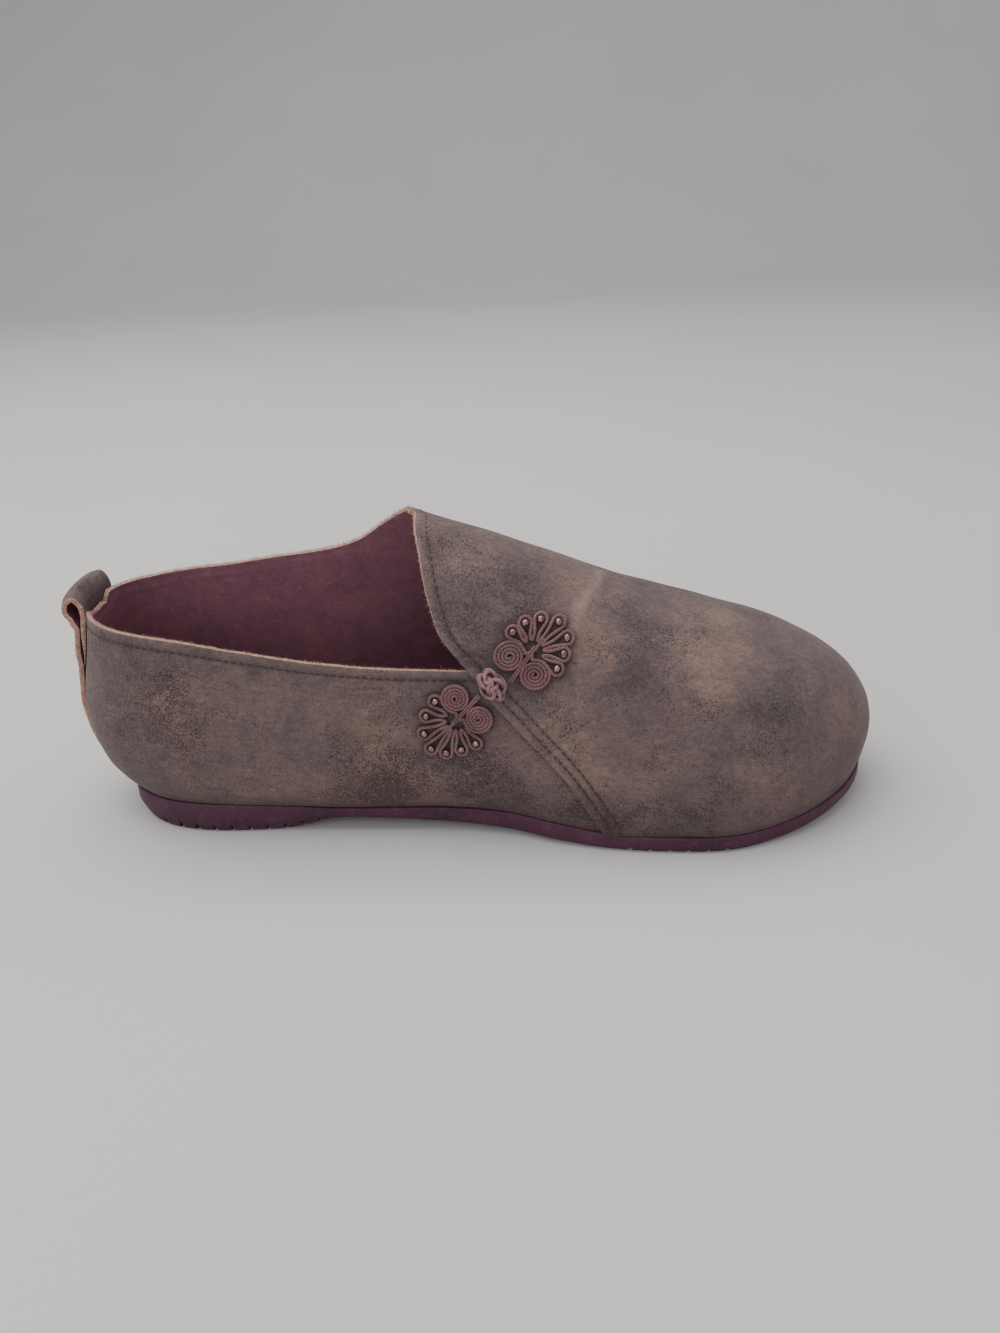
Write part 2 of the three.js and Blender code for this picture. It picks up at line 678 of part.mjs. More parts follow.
// A cord along a run of points (a, b, h), as a closed tube bent on to the upper.
const cordSides = 5;
function cord(points, closed, thickness) {
  const count = points.length;
  const position = [];
  const index = [];
  const get = (i) => (closed ? points[(i + count) % count] : points[clamp(i, 0, count - 1)]);
  points.forEach((p, i) => {
    const before = get(i - 1);
    const after = get(i + 1);
    const run = Math.hypot(after.a - before.a, after.b - before.b) || 1;
    const side = { a: -(after.b - before.b) / run, b: (after.a - before.a) / run };
    for (let k = 0; k < cordSides; k += 1) {
      const angle = (2 * Math.PI * (k + 0.25)) / cordSides;
      const out = (thickness / 2) * Math.cos(angle);
      const up = (cordHeight / 2) * Math.sin(angle);
      const v = bend(p.a + side.a * out, p.b + side.b * out, p.h + up);
      position.push(v.x, v.y, v.z);
    }
  });
  const steps = closed ? count : count - 1;
  const at = (i, k) => (i % count) * cordSides + (k % cordSides);
  for (let i = 0; i < steps; i += 1)
    for (let k = 0; k < cordSides; k += 1)
      index.push(at(i, k), at(i, k + 1), at(i + 1, k + 1), at(i, k), at(i + 1, k + 1), at(i + 1, k));
  if (!closed)
    for (let k = 1; k < cordSides - 1; k += 1) {
      index.push(at(0, 0), at(0, k + 1), at(0, k));
      index.push(at(count - 1, 0), at(count - 1, k), at(count - 1, k + 1));
    }
  return solid(position, index);
}

// Each half of the frog: two coils beside a stem, and seven loops that fan out beyond them.
// A half is laid out by p away from the knot and q across, about the middle of its two coils.
// "wide" stretches its coils along the shoe, and "fan" places its beads.
const cordMiddle = clearance + cordHeight / 2;
const halves = {
  front: {
    side: 1,
    along: 10.3,
    across: 0.3,
    turn: 15,
    wide: 1.08,
    fan: [
      { p: 6, q: -7.9 },
      { p: 10.1, q: -6.5 },
      { p: 13.4, q: -3.4 },
      { p: 15.6, q: 1.4 },
      { p: 13.6, q: 6 },
      { p: 9.5, q: 7.9 },
      { p: 5.2, q: 8.8 },
    ],
  },
  rear: {
    side: -1,
    along: 10.6,
    across: 0,
    turn: 8,
    wide: 1,
    fan: [
      { p: 6.5, q: -9.1 },
      { p: 11.1, q: -7.3 },
      { p: 15.2, q: -4.6 },
      { p: 17.4, q: -0.4 },
      { p: 15, q: 4.3 },
      { p: 10.3, q: 7.5 },
      { p: 4.9, q: 8.5 },
    ],
  },
};
const coil = { aside: 4.6, turns: 4, steps: 10, start: 0.35, pitch: 1 };
const hub = 4.8;

function place({ side, along, across, turn }, p, q, h) {
  const t = THREE.MathUtils.degToRad(turn);
  const sideways = q + across;
  return {
    a: side * (along + p * Math.cos(t) + sideways * Math.sin(t)),
    b: side * (sideways * Math.cos(t) - p * Math.sin(t)),
    h,
  };
}

// A coil winds outwards and its tail runs in to the stem.
const tailAngle = -45;
const wideAngle = 52;
function coilPoints(half, aside) {
  const count = Math.round(coil.turns * coil.steps);
  const slant = THREE.MathUtils.degToRad(wideAngle);
  const points = Array.from({ length: count + 1 }, (_, i) => {
    const turned = THREE.MathUtils.degToRad(tailAngle + (360 * (count - i)) / coil.steps);
    const r = coil.start + (coil.pitch * i) / coil.steps;
    const p = r * Math.cos(turned);
    const q = r * Math.sin(turned) * Math.sign(aside);
    const more = (half.wide - 1) * (p * Math.cos(slant) + q * Math.sin(slant));
    return place(half, p + more * Math.cos(slant), aside + q + more * Math.sin(slant), cordMiddle);
  });
  points.push(place(half, hub - 0.4, aside * 0.07, cordMiddle));
  return points;
}

// One cord meanders round all the beads: out beside a bead, round it, back in and over to the next.
// Each loop runs from the turn before it to the turn after it.
const turnRadius = 4;
const neckShare = 0.6;
const neckHalf = 0.72;
function turnPoint(half, i) {
  const near = half.fan[clamp(i, 0, half.fan.length - 1)];
  const next = half.fan[clamp(i + 1, 0, half.fan.length - 1)];
  const far = Math.hypot(near.p + next.p - 2 * hub, near.q + next.q);
  const shift = i < 0 || i === half.fan.length - 1 ? 0.8 : 0;
  const up = (near.p + next.p - 2 * hub) / far;
  const uq = (near.q + next.q) / far;
  const outward = i < 0 ? 1 : -1;
  return {
    p: hub + up * turnRadius + uq * shift * outward,
    q: uq * turnRadius - up * shift * outward,
  };
}

const loopArc = [-100, -65, -32, 0, 32, 65, 100];
function loopPoints(half, i) {
  const bead = half.fan[i];
  const far = Math.hypot(bead.p - hub, bead.q);
  const up = (bead.p - hub) / far;
  const uq = bead.q / far;
  const at = (along, aside) =>
    place(half, hub + up * along - uq * aside, uq * along + up * aside, cordMiddle);
  const around = loopArc.map((angle) => {
    const t = THREE.MathUtils.degToRad(angle);
    return at(far + loopEndRadius * Math.cos(t), loopEndRadius * Math.sin(t));
  });
  const neck = (side) => at(far * neckShare, side * neckHalf);
  const before = turnPoint(half, i - 1);
  const after = turnPoint(half, i);
  return [
    place(half, before.p, before.q, cordMiddle),
    neck(-1),
    ...around,
    neck(1),
    place(half, after.p, after.q, cordMiddle),
  ];
}

function frogHalf(half) {
  const stem = [-5.6, -3, 0, 3, hub + 1.9].map((p) => place(half, p, 0, cordMiddle));
  const cords = [cord(stem, false, cordBreadth * 1.4)];
  for (const aside of [-coil.aside, coil.aside])
    cords.push(cord(coilPoints(half, aside), false, cordBreadth));
  half.fan.forEach((_, i) => cords.push(cord(loopPoints(half, i), false, cordBreadth)));
  const middle = [hub + 1, hub + turnRadius + 1.6];
  const spoke = middle.map((p) => place(half, p, half.fan[3].q * 0.3, cordMiddle));
  cords.push(cord(spoke, false, cordBreadth));
  return fromManifold(wasm.Manifold.union(cords.map(manifold)));
}

// A small closed ball of (a, b, h) points, bent on to the upper.
function ball(centre, radii, detail, shape) {
  const sphere = new THREE.SphereGeometry(1, detail[0], detail[1]);
  const source = sphere.getAttribute("position");
  const keep = new Map();
  const remap = [];
  const position = [];
  for (let i = 0; i < source.count; i += 1) {
    const u = new THREE.Vector3().fromBufferAttribute(source, i);
    const key = u.toArray().map((c) => Math.round(c * 1e4)).join();
    if (!keep.has(key)) {
      keep.set(key, position.length / 3);
      const s = shape ? shape(u) : 1;
      const v = bend(
        centre.a + radii.a * u.x * s,
        centre.b + radii.b * u.z * s,
        centre.h + radii.h * u.y * s,
      );
      position.push(v.x, v.y, v.z);
    }
    remap.push(keep.get(key));
  }
  const index = [];
  for (let i = 0; i < sphere.index.count; i += 3) {
    const t = [0, 1, 2].map((k) => remap[sphere.index.getX(i + k)]);
    if (t[0] !== t[1] && t[1] !== t[2] && t[2] !== t[0]) index.push(...t);
  }
  return solid(position, index);
}

function beadGeometry(half, { p, q }) {
  const r = beadDiameter / 2;
  return ball(place(half, p, q, clearance + r), { a: r, b: r, h: r }, [7, 5]);
}

// The knot: a rounded button with a woven surface.
const weave = 0.07;
const knotAt = { a: 0.7, b: -1.2 };
function knot() {
  const shape = (u) => {
    const around = Math.atan2(u.z, u.x);
    const over = Math.asin(clamp(u.y, -1, 1));
    return 1 + weave * Math.cos(5 * around) * Math.cos(5 * over);
  };
  const radii = { a: knotBreadth / 2, b: knotLength / 2, h: knotHeight / 2 };
  return ball({ ...knotAt, h: clearance + knotHeight / 2 + 0.3 }, radii, [16, 10], shape);
}

// The finished group
const materials = {
  leather: new THREE.MeshStandardMaterial({ color: 0x7d6c66, roughness: 0.85 }),
  sole: new THREE.MeshStandardMaterial({ color: 0x4d2a40, roughness: 0.6 }),
  insole: new THREE.MeshStandardMaterial({ color: 0x4f2a35, roughness: 0.9 }),
  cord: new THREE.MeshStandardMaterial({ color: 0x8a6a70, roughness: 0.9 }),
  bead: new THREE.MeshStandardMaterial({ color: 0xc9a49a, roughness: 0.3, metalness: 0.8 }),
};
for (const [name, material] of Object.entries(materials)) material.name = name;

const group = new THREE.Group();
function add(name, geometry, material) {
  const mesh = new THREE.Mesh(geometry, material);
  mesh.name = name;
  group.add(mesh);
}
add("outsole", outsole(), materials.sole);
add("insole", insole(), materials.insole);
add("upper", upper(), materials.leather);
add("heel_strip", strip(), materials.leather);
for (const [label, half] of Object.entries(halves))
  add(`frog_${label}`, frogHalf(half), materials.cord);
add("frog_knot", knot(), materials.cord);
for (const [label, half] of Object.entries(halves))
  half.fan.forEach((bead, i) => {
    add(`bead_${label}_${i + 1}`, beadGeometry(half, bead), materials.bead);
  });

// The frame's origin is the middle of the underside of the whole shoe.
const box = new THREE.Box3().setFromObject(group);
const middle = box.getCenter(new THREE.Vector3());
group.traverse((o) => {
  if (o.isMesh) o.geometry.translate(-middle.x, -middle.y, -box.min.z);
});

export default group;
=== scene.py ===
"""A flat slip-on shoe for the right foot: the looks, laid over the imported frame."""

import math

import bpy
import numpy as np
from mathutils import Euler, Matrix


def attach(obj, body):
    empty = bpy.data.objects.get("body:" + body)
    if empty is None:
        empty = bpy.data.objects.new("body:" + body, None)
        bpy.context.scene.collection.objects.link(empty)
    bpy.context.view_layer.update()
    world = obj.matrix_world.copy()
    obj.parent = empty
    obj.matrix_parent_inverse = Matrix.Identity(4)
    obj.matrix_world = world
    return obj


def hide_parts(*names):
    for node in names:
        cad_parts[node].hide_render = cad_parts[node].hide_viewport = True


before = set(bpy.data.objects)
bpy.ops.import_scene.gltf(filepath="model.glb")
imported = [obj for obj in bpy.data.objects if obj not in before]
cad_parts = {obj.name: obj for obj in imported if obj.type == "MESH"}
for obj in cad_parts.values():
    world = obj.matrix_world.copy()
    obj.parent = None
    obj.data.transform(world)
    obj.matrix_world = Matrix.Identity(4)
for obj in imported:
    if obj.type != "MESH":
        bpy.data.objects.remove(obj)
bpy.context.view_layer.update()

# Sizes in millimetres, as in the frame. x runs from heel to toe, y from the outer side (-) to the
# inner side (+), z up. The frame's origin lies at ORIGIN in these coordinates.
ORIGIN = np.array([114.00427, 0.70624, 0.0])
SOLE_LENGTH = 245.0
BALL_BREADTH = 90.0
TOE_SHIFT = 4.0
HEEL_HEIGHT = 10.8
ARCH_RISE = 4.9
TOE_SPRING = 6.0
SOLE_MARGIN = 0.6
BACK_HEIGHT = 71.5
PEAK_HEIGHT = 98.0
HEEL_OVERHANG = 14.6
TOE_TIP = 244.5
FOOT_TIP = 242.0
WALL = 1.5
LAP_STEP = 1.3
LAP_FADE = 22.0
CLEARANCE = 0.3
STRIP_WIDTH = 22.0
STRIP_THICKNESS = 1.5
STRIP_GAP = 0.35
LOOP_HEIGHT = 72.0
LOOP_TILT = 0.05
CORD_HEIGHT = 1.3
CORD_BREADTH = 1.0


# ---------------- small helpers
def add(name, data):
    """A new object in the scene."""
    thing = bpy.data.objects.new(name, data)
    bpy.context.collection.objects.link(thing)
    return thing


def clamp01(t):
    return np.clip(t, 0.0, 1.0)


def ease(t):
    c = clamp01(t)
    return c * c * (3 - 2 * c)


def mix(a, b, t):
    return a + (b - a) * t


LEVEL = np.array([1, 1, 0.0])


def unit(v):
    return v / np.maximum(np.linalg.norm(v, axis=-1, keepdims=True), 1e-12)


def bell(distance, width):
    return np.exp(-((distance / width) ** 2))


def circle(count, shift=0.0):
    """Angles spread evenly round a circle."""
    return 2 * math.pi * (np.arange(count) + shift) / count


def run_length(points):
    """How far along a run of points each one lies."""
    steps = np.linalg.norm(np.diff(points, axis=0), axis=1)
    return np.concatenate([[0], np.cumsum(steps)])


def sample(points, reach, at):
    """The points or directions at the lengths `at`."""
    return np.stack([np.interp(at, reach, points[:, k]) for k in range(3)], -1)


def curve(rows, column):
    """A smooth curve through a table's column that never overshoots its rows."""
    at = np.array([row[0] for row in rows], float)
    value = np.array([row[column] for row in rows], float)
    rise = np.diff(value) / np.diff(at)
    slope = np.empty(len(at))
    slope[0], slope[-1] = rise[0], rise[-1]
    product = rise[:-1] * rise[1:]
    total = np.where(product > 0, rise[:-1] + rise[1:], 1)
    slope[1:-1] = np.where(product > 0, 2 * product / total, 0)

    def read(u):
        u = np.clip(u, at[0], at[-1])
        i = np.clip(np.searchsorted(at, u, side="left") - 1, 0, len(at) - 2)
        span = at[i + 1] - at[i]
        t = (u - at[i]) / span
        h = t * t * (3 - 2 * t)
        swing = span * t * (1 - t) * (slope[i] * (1 - t) - slope[i + 1] * t)
        return value[i] * (1 - h) + value[i + 1] * h + swing

    return read


def soft_noise(p, size, seed):
    """Smooth noise from -1 to 1 with bumps about `size` millimetres across, from a few waves."""
    rng = np.random.default_rng(seed)
    total = np.zeros(p.shape[:-1])
    for _ in range(9):
        way = unit(rng.normal(size=3))
        wave = 2 * math.pi / (size * rng.uniform(0.7, 1.5))
        total += np.sin(p @ way * wave + rng.uniform(0, 2 * math.pi))
    return total / 4.5


# ---------------- the last
# at, foot outer, foot inner, belly outer, belly inner: shares of half the ball breadth
BREADTHS = [
    (0.0, 0.65, 0.65, 0.7, 0.7), (0.14, 0.65, 0.64, 0.73, 0.71), (0.23, 0.64, 0.6, 0.73, 0.69),
    (0.3, 0.66, 0.56, 0.74, 0.68), (0.41, 0.67, 0.53, 0.76, 0.7), (0.5, 0.725, 0.6, 0.81, 0.76),
    (0.575, 0.865, 0.73, 0.89, 0.83), (0.64, 0.955, 0.85, 0.965, 0.91),
    (0.72, 1.02, 0.95, 1.035, 0.98), (0.82, 1.06, 0.95, 1.075, 0.98),
    (1.0, 1.06, 0.93, 1.075, 0.95),
]
foot_outer, foot_inner, belly_outer, belly_inner = (curve(BREADTHS, k) for k in range(1, 5))

# at, sole's underside, sole's top, toe lift, belly, crest
LEVELS = [
    (-0.1, 0.7, 1, 0, 0.42, 1.47), (0.0, 0.35, 1, 0, 0.4, 1.42), (0.035, 0.06, 1, 0, 0.39, 1.39),
    (0.06, 0, 1, 0, 0.385, 1.37), (0.1, 0, 1, 0, 0.375, 1.34), (0.16, 0, 0.955, 0, 0.355, 1.3),
    (0.2, 0.05, 0.905, 0, 0.338, 1.254), (0.23, 0.24, 0.86, 0, 0.325, 1.22),
    (0.25, 0.5, 0.845, 0, 0.315, 1.19), (0.27, 0.85, 0.83, 0, 0.305, 1.165),
    (0.3, 1, 0.825, 0, 0.29, 1.12), (0.36, 0.9, 0.83, 0, 0.27, 1.04),
    (0.42, 0.7, 0.845, 0, 0.25, 0.977), (0.51, 0.43, 0.81, 0, 0.225, 0.899),
    (0.575, 0.24, 0.71, 0, 0.21, 0.828), (0.63, 0.07, 0.57, 0, 0.205, 0.764),
    (0.68, 0, 0.52, 0, 0.2, 0.714), (0.78, 0, 0.52, 0, 0.2, 0.63),
    (0.86, 0, 0.52, 0.18, 0.205, 0.567), (0.93, 0, 0.52, 0.5, 0.215, 0.52),
    (1.02, 0, 0.52, 1.05, 0.225, 0.48),
]
under, over, spring, belly_share, crest_share = (curve(LEVELS, k) for k in range(1, 6))

# height share, how far the heel's back stands out
BACK = [
    (0.1, 0.05), (0.15, 0.22), (0.21, 0.56), (0.28, 0.8), (0.41, 0.97), (0.52, 1), (0.64, 0.92),
    (0.8, 0.71), (1.0, 0.49), (1.2, 0.3),
]
back_curve = curve(BACK, 1)
HEEL_ROUND, TOE_ROUND, CREST_ROUND = 0.15, 0.735, 0.83
HEEL_POWER, TOE_POWER, CREST_POWER, SECTION_POWER = 2.4, 2.0, 2.3, 2.15
SPINE_FROM, SPINE_TO = 0.15, 0.84
RAY_LENGTH, RAY_STEPS = 160.0, 26
# Keeps points at the last's ends just inside it, in millimetres
END_GAP = 0.005


def sole_bottom(x):
    s = x / SOLE_LENGTH
    return ARCH_RISE * under(s) + TOE_SPRING * spring(s)


def sole_top(x):
    s = x / SOLE_LENGTH
    return HEEL_HEIGHT * over(s) + TOE_SPRING * spring(s)


def belly_z(x):
    return PEAK_HEIGHT * belly_share(x / SOLE_LENGTH)


def back_x(z):
    return -HEEL_OVERHANG * back_curve(z / BACK_HEIGHT)


def tip_x(z):
    widest = belly_z(SOLE_LENGTH)
    foot = sole_top(SOLE_LENGTH)
    down = clamp01((widest - z) / (widest - foot))
    return mix(TOE_TIP, FOOT_TIP, down * down)


def round_off(share, power):
    return (1 - clamp01(share) ** power) ** (1 / power)


def crest_z(x):
    start = CREST_ROUND * SOLE_LENGTH
    top = PEAK_HEIGHT * crest_share(x / SOLE_LENGTH)
    share = round_off((x - start) / (TOE_TIP - start), CREST_POWER)
    return np.where(x <= start, top, mix(belly_z(x), top, share))


def axis_y(x):
    return TOE_SHIFT * ease((x / SOLE_LENGTH - 0.5) / 0.45)


def half_width(x, z, outer):
    back, tip = back_x(z), tip_x(z)
    foot, belly, s = sole_top(x), belly_z(x), x / SOLE_LENGTH
    rise = np.sin(clamp01((z - foot) / (belly - foot)) * math.pi / 2)
    outer_w, inner_w = mix(foot_outer(s), belly_outer(s), rise), mix(foot_inner(s), belly_inner(s), rise)
    w = np.where(outer, outer_w, inner_w) * BALL_BREADTH / 2
    heel, toe = HEEL_ROUND * SOLE_LENGTH, TOE_ROUND * SOLE_LENGTH
    w = w * np.where(x < heel, round_off((heel - x) / (heel - back), HEEL_POWER), 1)
    w = w * np.where(x > toe, round_off((x - toe) / np.maximum(tip - toe, 1), TOE_POWER), 1)
    above = (z - belly) / (crest_z(x) - belly)
    w = w * np.where(z > belly, round_off(above, SECTION_POWER), 1)
    return np.where((x <= back) | (x >= tip), 0, w)


def outside(p):
    off = p[..., 1] - axis_y(p[..., 0])
    return np.abs(off) - half_width(p[..., 0], p[..., 2], off < 0)


def spine(x):
    """A line inside the last, from which rays reach every part of its side."""
    cx = np.clip(x, SPINE_FROM * SOLE_LENGTH, SPINE_TO * SOLE_LENGTH)
    t = (cx / SOLE_LENGTH - SPINE_FROM) / (SPINE_TO - SPINE_FROM)
    return np.stack([cx, axis_y(cx), PEAK_HEIGHT * mix(0.42, 0.25, t)], -1)


def cast_out(start, way):
    """Where rays that start inside the last leave it."""
    low = np.zeros(start.shape[:-1])
    high = np.full(start.shape[:-1], RAY_LENGTH)
    for _ in range(RAY_STEPS):
        r = (low + high) / 2
        inside = outside(start + way * r[..., None]) < 0
        low = np.where(inside, r, low)
        high = np.where(inside, high, r)
    return start + way * ((low + high) / 2)[..., None]


def normal_at(p, probe=0.4):
    n = np.empty(p.shape)
    for axis in range(3):
        step = np.zeros(3)
        step[axis] = probe
        n[..., axis] = outside(p + step) - outside(p - step)
    bad = (n**2).sum(-1, keepdims=True) < 1e-9
    return unit(np.where(bad, p - spine(p[..., 0]), n))


def on_side(x, z, outer):
    x, z = np.asarray(x, float), np.asarray(z, float)
    y = axis_y(x) + np.where(outer, -1, 1) * half_width(x, z, outer)
    return np.stack([x, y, z + 0 * x], -1)


def foot_z(x):
    return sole_top(x) + CLEARANCE


def foot_ends(gap):
    """The foot line's two ends, brought in by a gap."""
    return float(back_x(foot_z(0.0))) + gap, float(tip_x(foot_z(SOLE_LENGTH))) - gap


# ---------------- the upper's edges
# share along, x as a share of the sole length, z as a share of the peak height
OUTER_RIM = [
    (0.0, -0.03, 0.732), (0.12, 0.0, 0.728), (0.3, 0.1, 0.712), (0.45, 0.19, 0.668),
    (0.6, 0.28, 0.624), (0.8, 0.39, 0.594), (1.0, 0.476, 0.586),
]
THROAT = [
    (0.0, 0.476, 0.586), (0.14, 0.455, 0.635), (0.28, 0.438, 0.692), (0.44, 0.4285, 0.764),
    (0.6, 0.421, 0.836), (0.78, 0.415, 0.915), (0.9, 0.409, 0.968), (1.0, 0.405, 1.01),
]
INNER_RIM = [
    (0.0, 0.405, 1.01), (0.05, 0.392, 0.98), (0.1, 0.379, 0.956), (0.22, 0.345, 0.89),
    (0.31, 0.313, 0.832), (0.4, 0.27, 0.793), (0.52, 0.193, 0.76), (0.68, 0.1, 0.728),
    (0.84, 0.02, 0.724), (1.0, -0.03, 0.732),
]
SEAM = [
    (0.05, 0.635), (0.12, 0.62), (0.18, 0.6055), (0.24, 0.59), (0.3, 0.571), (0.36, 0.549),
    (0.43, 0.524), (0.48, 0.505), (0.535, 0.488), (0.586, 0.476),
]
seam_curve = curve(SEAM, 1)
CORNER = (0.476 * SOLE_LENGTH, 0.586 * PEAK_HEIGHT)
EDGE_STEPS = 300
TURN = (1 - np.cos(math.pi * np.arange(EDGE_STEPS + 1) / EDGE_STEPS)) / 2


def seam_x(z):
    return SOLE_LENGTH * seam_curve(z / PEAK_HEIGHT)


def stretch(rows, outer):
    z = PEAK_HEIGHT * curve(rows, 2)(TURN)
    x = np.maximum(SOLE_LENGTH * curve(rows, 1)(TURN), back_x(z) + END_GAP)
    return on_side(x, np.minimum(z, crest_z(x) - END_GAP), outer)


def foot_stretch(start, end, outer):
    x = mix(start, end, TURN)
    return on_side(x, foot_z(x), outer)


def spread(points, count):
    """Points spread evenly by length along a run of close points."""
    reach = run_length(points)
    return sample(points, reach, np.linspace(0, reach[-1], count + 1))


def lap_ahead(x, z):
    return np.where(z > CORNER[1], np.hypot(x - CORNER[0], z - CORNER[1]), x - seam_x(z))


def lap_height(ahead):
    return LAP_STEP * (1 - ease(ahead / LAP_FADE))


def lap_at(p):
    return lap_height(np.maximum(lap_ahead(p[..., 0], p[..., 2]), 0))


# Columns per stretch of the edge, rows up the side, and where the parts of the edge meet
FINE = 5
SEAM_FOOT, SEAM_FOOT_X = 0.612, 150.0
INNER_SPLIT, INNER_TURN = 0.3, 0.62
RUNS = [22 * FINE, 16 * FINE, 14 * FINE, 21 * FINE]
ROWS = 13 * 6
SEAM_COLUMN = RUNS[0]
VAMP_END = RUNS[0] + RUNS[1]


def outside_grid():
    """Columns of points on the last, from the bottom edge of the upper to its top edge."""
    back_foot, tip_foot = foot_ends(END_GAP)
    seam_foot = float(seam_x(sole_top(SEAM_FOOT * SOLE_LENGTH)))
    inner = stretch(INNER_RIM, False)
    cut = round(EDGE_STEPS * math.acos(1 - 2 * INNER_SPLIT) / math.pi)
    turn = INNER_TURN * SOLE_LENGTH
    parts = [
        (foot_stretch(back_foot, seam_foot, True), stretch(OUTER_RIM, True)),
        (foot_stretch(seam_foot, tip_foot, True), stretch(THROAT, True)),
        (foot_stretch(tip_foot, turn, False), inner[: cut + 1]),
        (foot_stretch(turn, back_foot, False), inner[cut:]),
    ]
    bottom = np.concatenate([spread(f, n)[:-1] for (f, _), n in zip(parts, RUNS)])
    top = np.concatenate([spread(t, n)[:-1] for (_, t), n in zip(parts, RUNS)])
    from_a, from_b = spine(bottom[:, 0]), spine(top[:, 0])
    way_a, way_b = unit(bottom - from_a), unit(top - from_b)
    angle = np.arccos(np.clip((way_a * way_b).sum(-1), -1, 1))[:, None]
    t = np.linspace(0, 1, 61)[None, :]
    share_a = (np.sin((1 - t) * angle) / np.sin(angle))[..., None]
    share_b = (np.sin(t * angle) / np.sin(angle))[..., None]
    way = unit(share_a * way_a[:, None] + share_b * way_b[:, None])
    start = spine(mix(from_a[:, None, 0], from_b[:, None, 0], t))
    fine = cast_out(start, way)
    fine[:, 0], fine[:, -1] = bottom, top
    grid = np.stack([spread(column, ROWS) for column in fine])
    shift = seam_x(grid[SEAM_COLUMN, :, 2]) - grid[SEAM_COLUMN, :, 0]
    reach = 9 * FINE
    for c in range(SEAM_COLUMN - reach, SEAM_COLUMN + reach + 1):
        near = math.cos((c - SEAM_COLUMN) / (10 * FINE) * math.pi / 2) ** 2
        body = grid[c, 1:-1]
        grid[c, 1:-1] = on_side(body[:, 0] + near * shift[1:-1], body[:, 2], True)
    return grid


# ---------------- materials
class Nodes:
    """A material and short calls that add and join its nodes."""

    def __init__(self, name, shine, sheen=0.0, spread=0.5, tint=(1, 1, 1), **values):
        self.material = bpy.data.materials.new(name)
        self.material.use_nodes = True
        self.tree = self.material.node_tree
        self.tree.nodes.clear()
        out = self.tree.nodes.new("ShaderNodeOutputMaterial")
        self.shader = self.tree.nodes.new("ShaderNodeBsdfPrincipled")
        self.tree.links.new(self.shader.outputs[0], out.inputs[0])
        values.update(Specular_IOR_Level=shine, Sheen_Weight=sheen, Sheen_Roughness=spread)
        for key, value in {**values, "Sheen_Tint": (*tint, 1)}.items():
            self.shader.inputs[key.replace("_", " ")].default_value = value
        self.place = self.tree.nodes.new("ShaderNodeTexCoord").outputs["Object"]

    def node(self, kind, inputs=(), **settings):
        node = self.tree.nodes.new("ShaderNode" + kind)
        for key, value in settings.items():
            setattr(node, key, value)
        for key, value in dict(inputs).items():
            self.put(node.inputs[key], value)
        return node

    def put(self, socket, value):
        if isinstance(value, bpy.types.NodeSocket):
            self.tree.links.new(value, socket)
        elif value is not None:
            socket.default_value = value

    def noise(self, scale, detail=2.0, rough=0.5, distort=0.0, stretch=None):
        where = self.place
        if stretch:
            where = self.node("Mapping", {"Vector": where, "Scale": stretch}).outputs[0]
        inputs = {"Vector": where, "Scale": scale, "Detail": detail, "Roughness": rough}
        return self.node("TexNoise", {**inputs, "Distortion": distort}).outputs["Fac"]

    def ramp(self, value, *stops):
        node = self.node("ValToRGB", {"Fac": value})
        ramp = node.color_ramp
        while len(ramp.elements) < len(stops):
            ramp.elements.new(0.5)
        for element, (at, colour) in zip(ramp.elements, stops):
            element.position = at
            element.color = (*colour, 1) if isinstance(colour, tuple) else (colour,) * 3 + (1,)
        return node.outputs[0]

    def math(self, kind, a, b):
        return self.node("Math", {0: a, 1: b}, operation=kind).outputs[0]

    def total(self, start, *parts):
        """A start plus each value times its weight."""
        for value, weight in parts:
            start = self.math("ADD", self.math("MULTIPLY", value, weight), start)
        return start

    def blend(self, share, a, b, kind="MIX"):
        node = self.node("Mix", data_type="RGBA", blend_type=kind, clamp_factor=True)
        colour = lambda v: (*v, 1) if isinstance(v, tuple) else v
        self.put(node.inputs[0], share)
        self.put(node.inputs[6], colour(a))
        self.put(node.inputs[7], colour(b))
        return node.outputs[2]

    def attribute(self, name):
        return self.node("Attribute", attribute_name=name).outputs["Fac"]

    def bump(self, height, strength, distance, normal=None):
        inputs = {"Height": height, "Strength": strength, "Distance": distance, "Normal": normal}
        return self.node("Bump", inputs).outputs[0]

    def finish(self, colour, rough, normal):
        for key, value in (("Base Color", colour), ("Roughness", rough), ("Normal", normal)):
            self.put(self.shader.inputs[key], value)
        return self.material


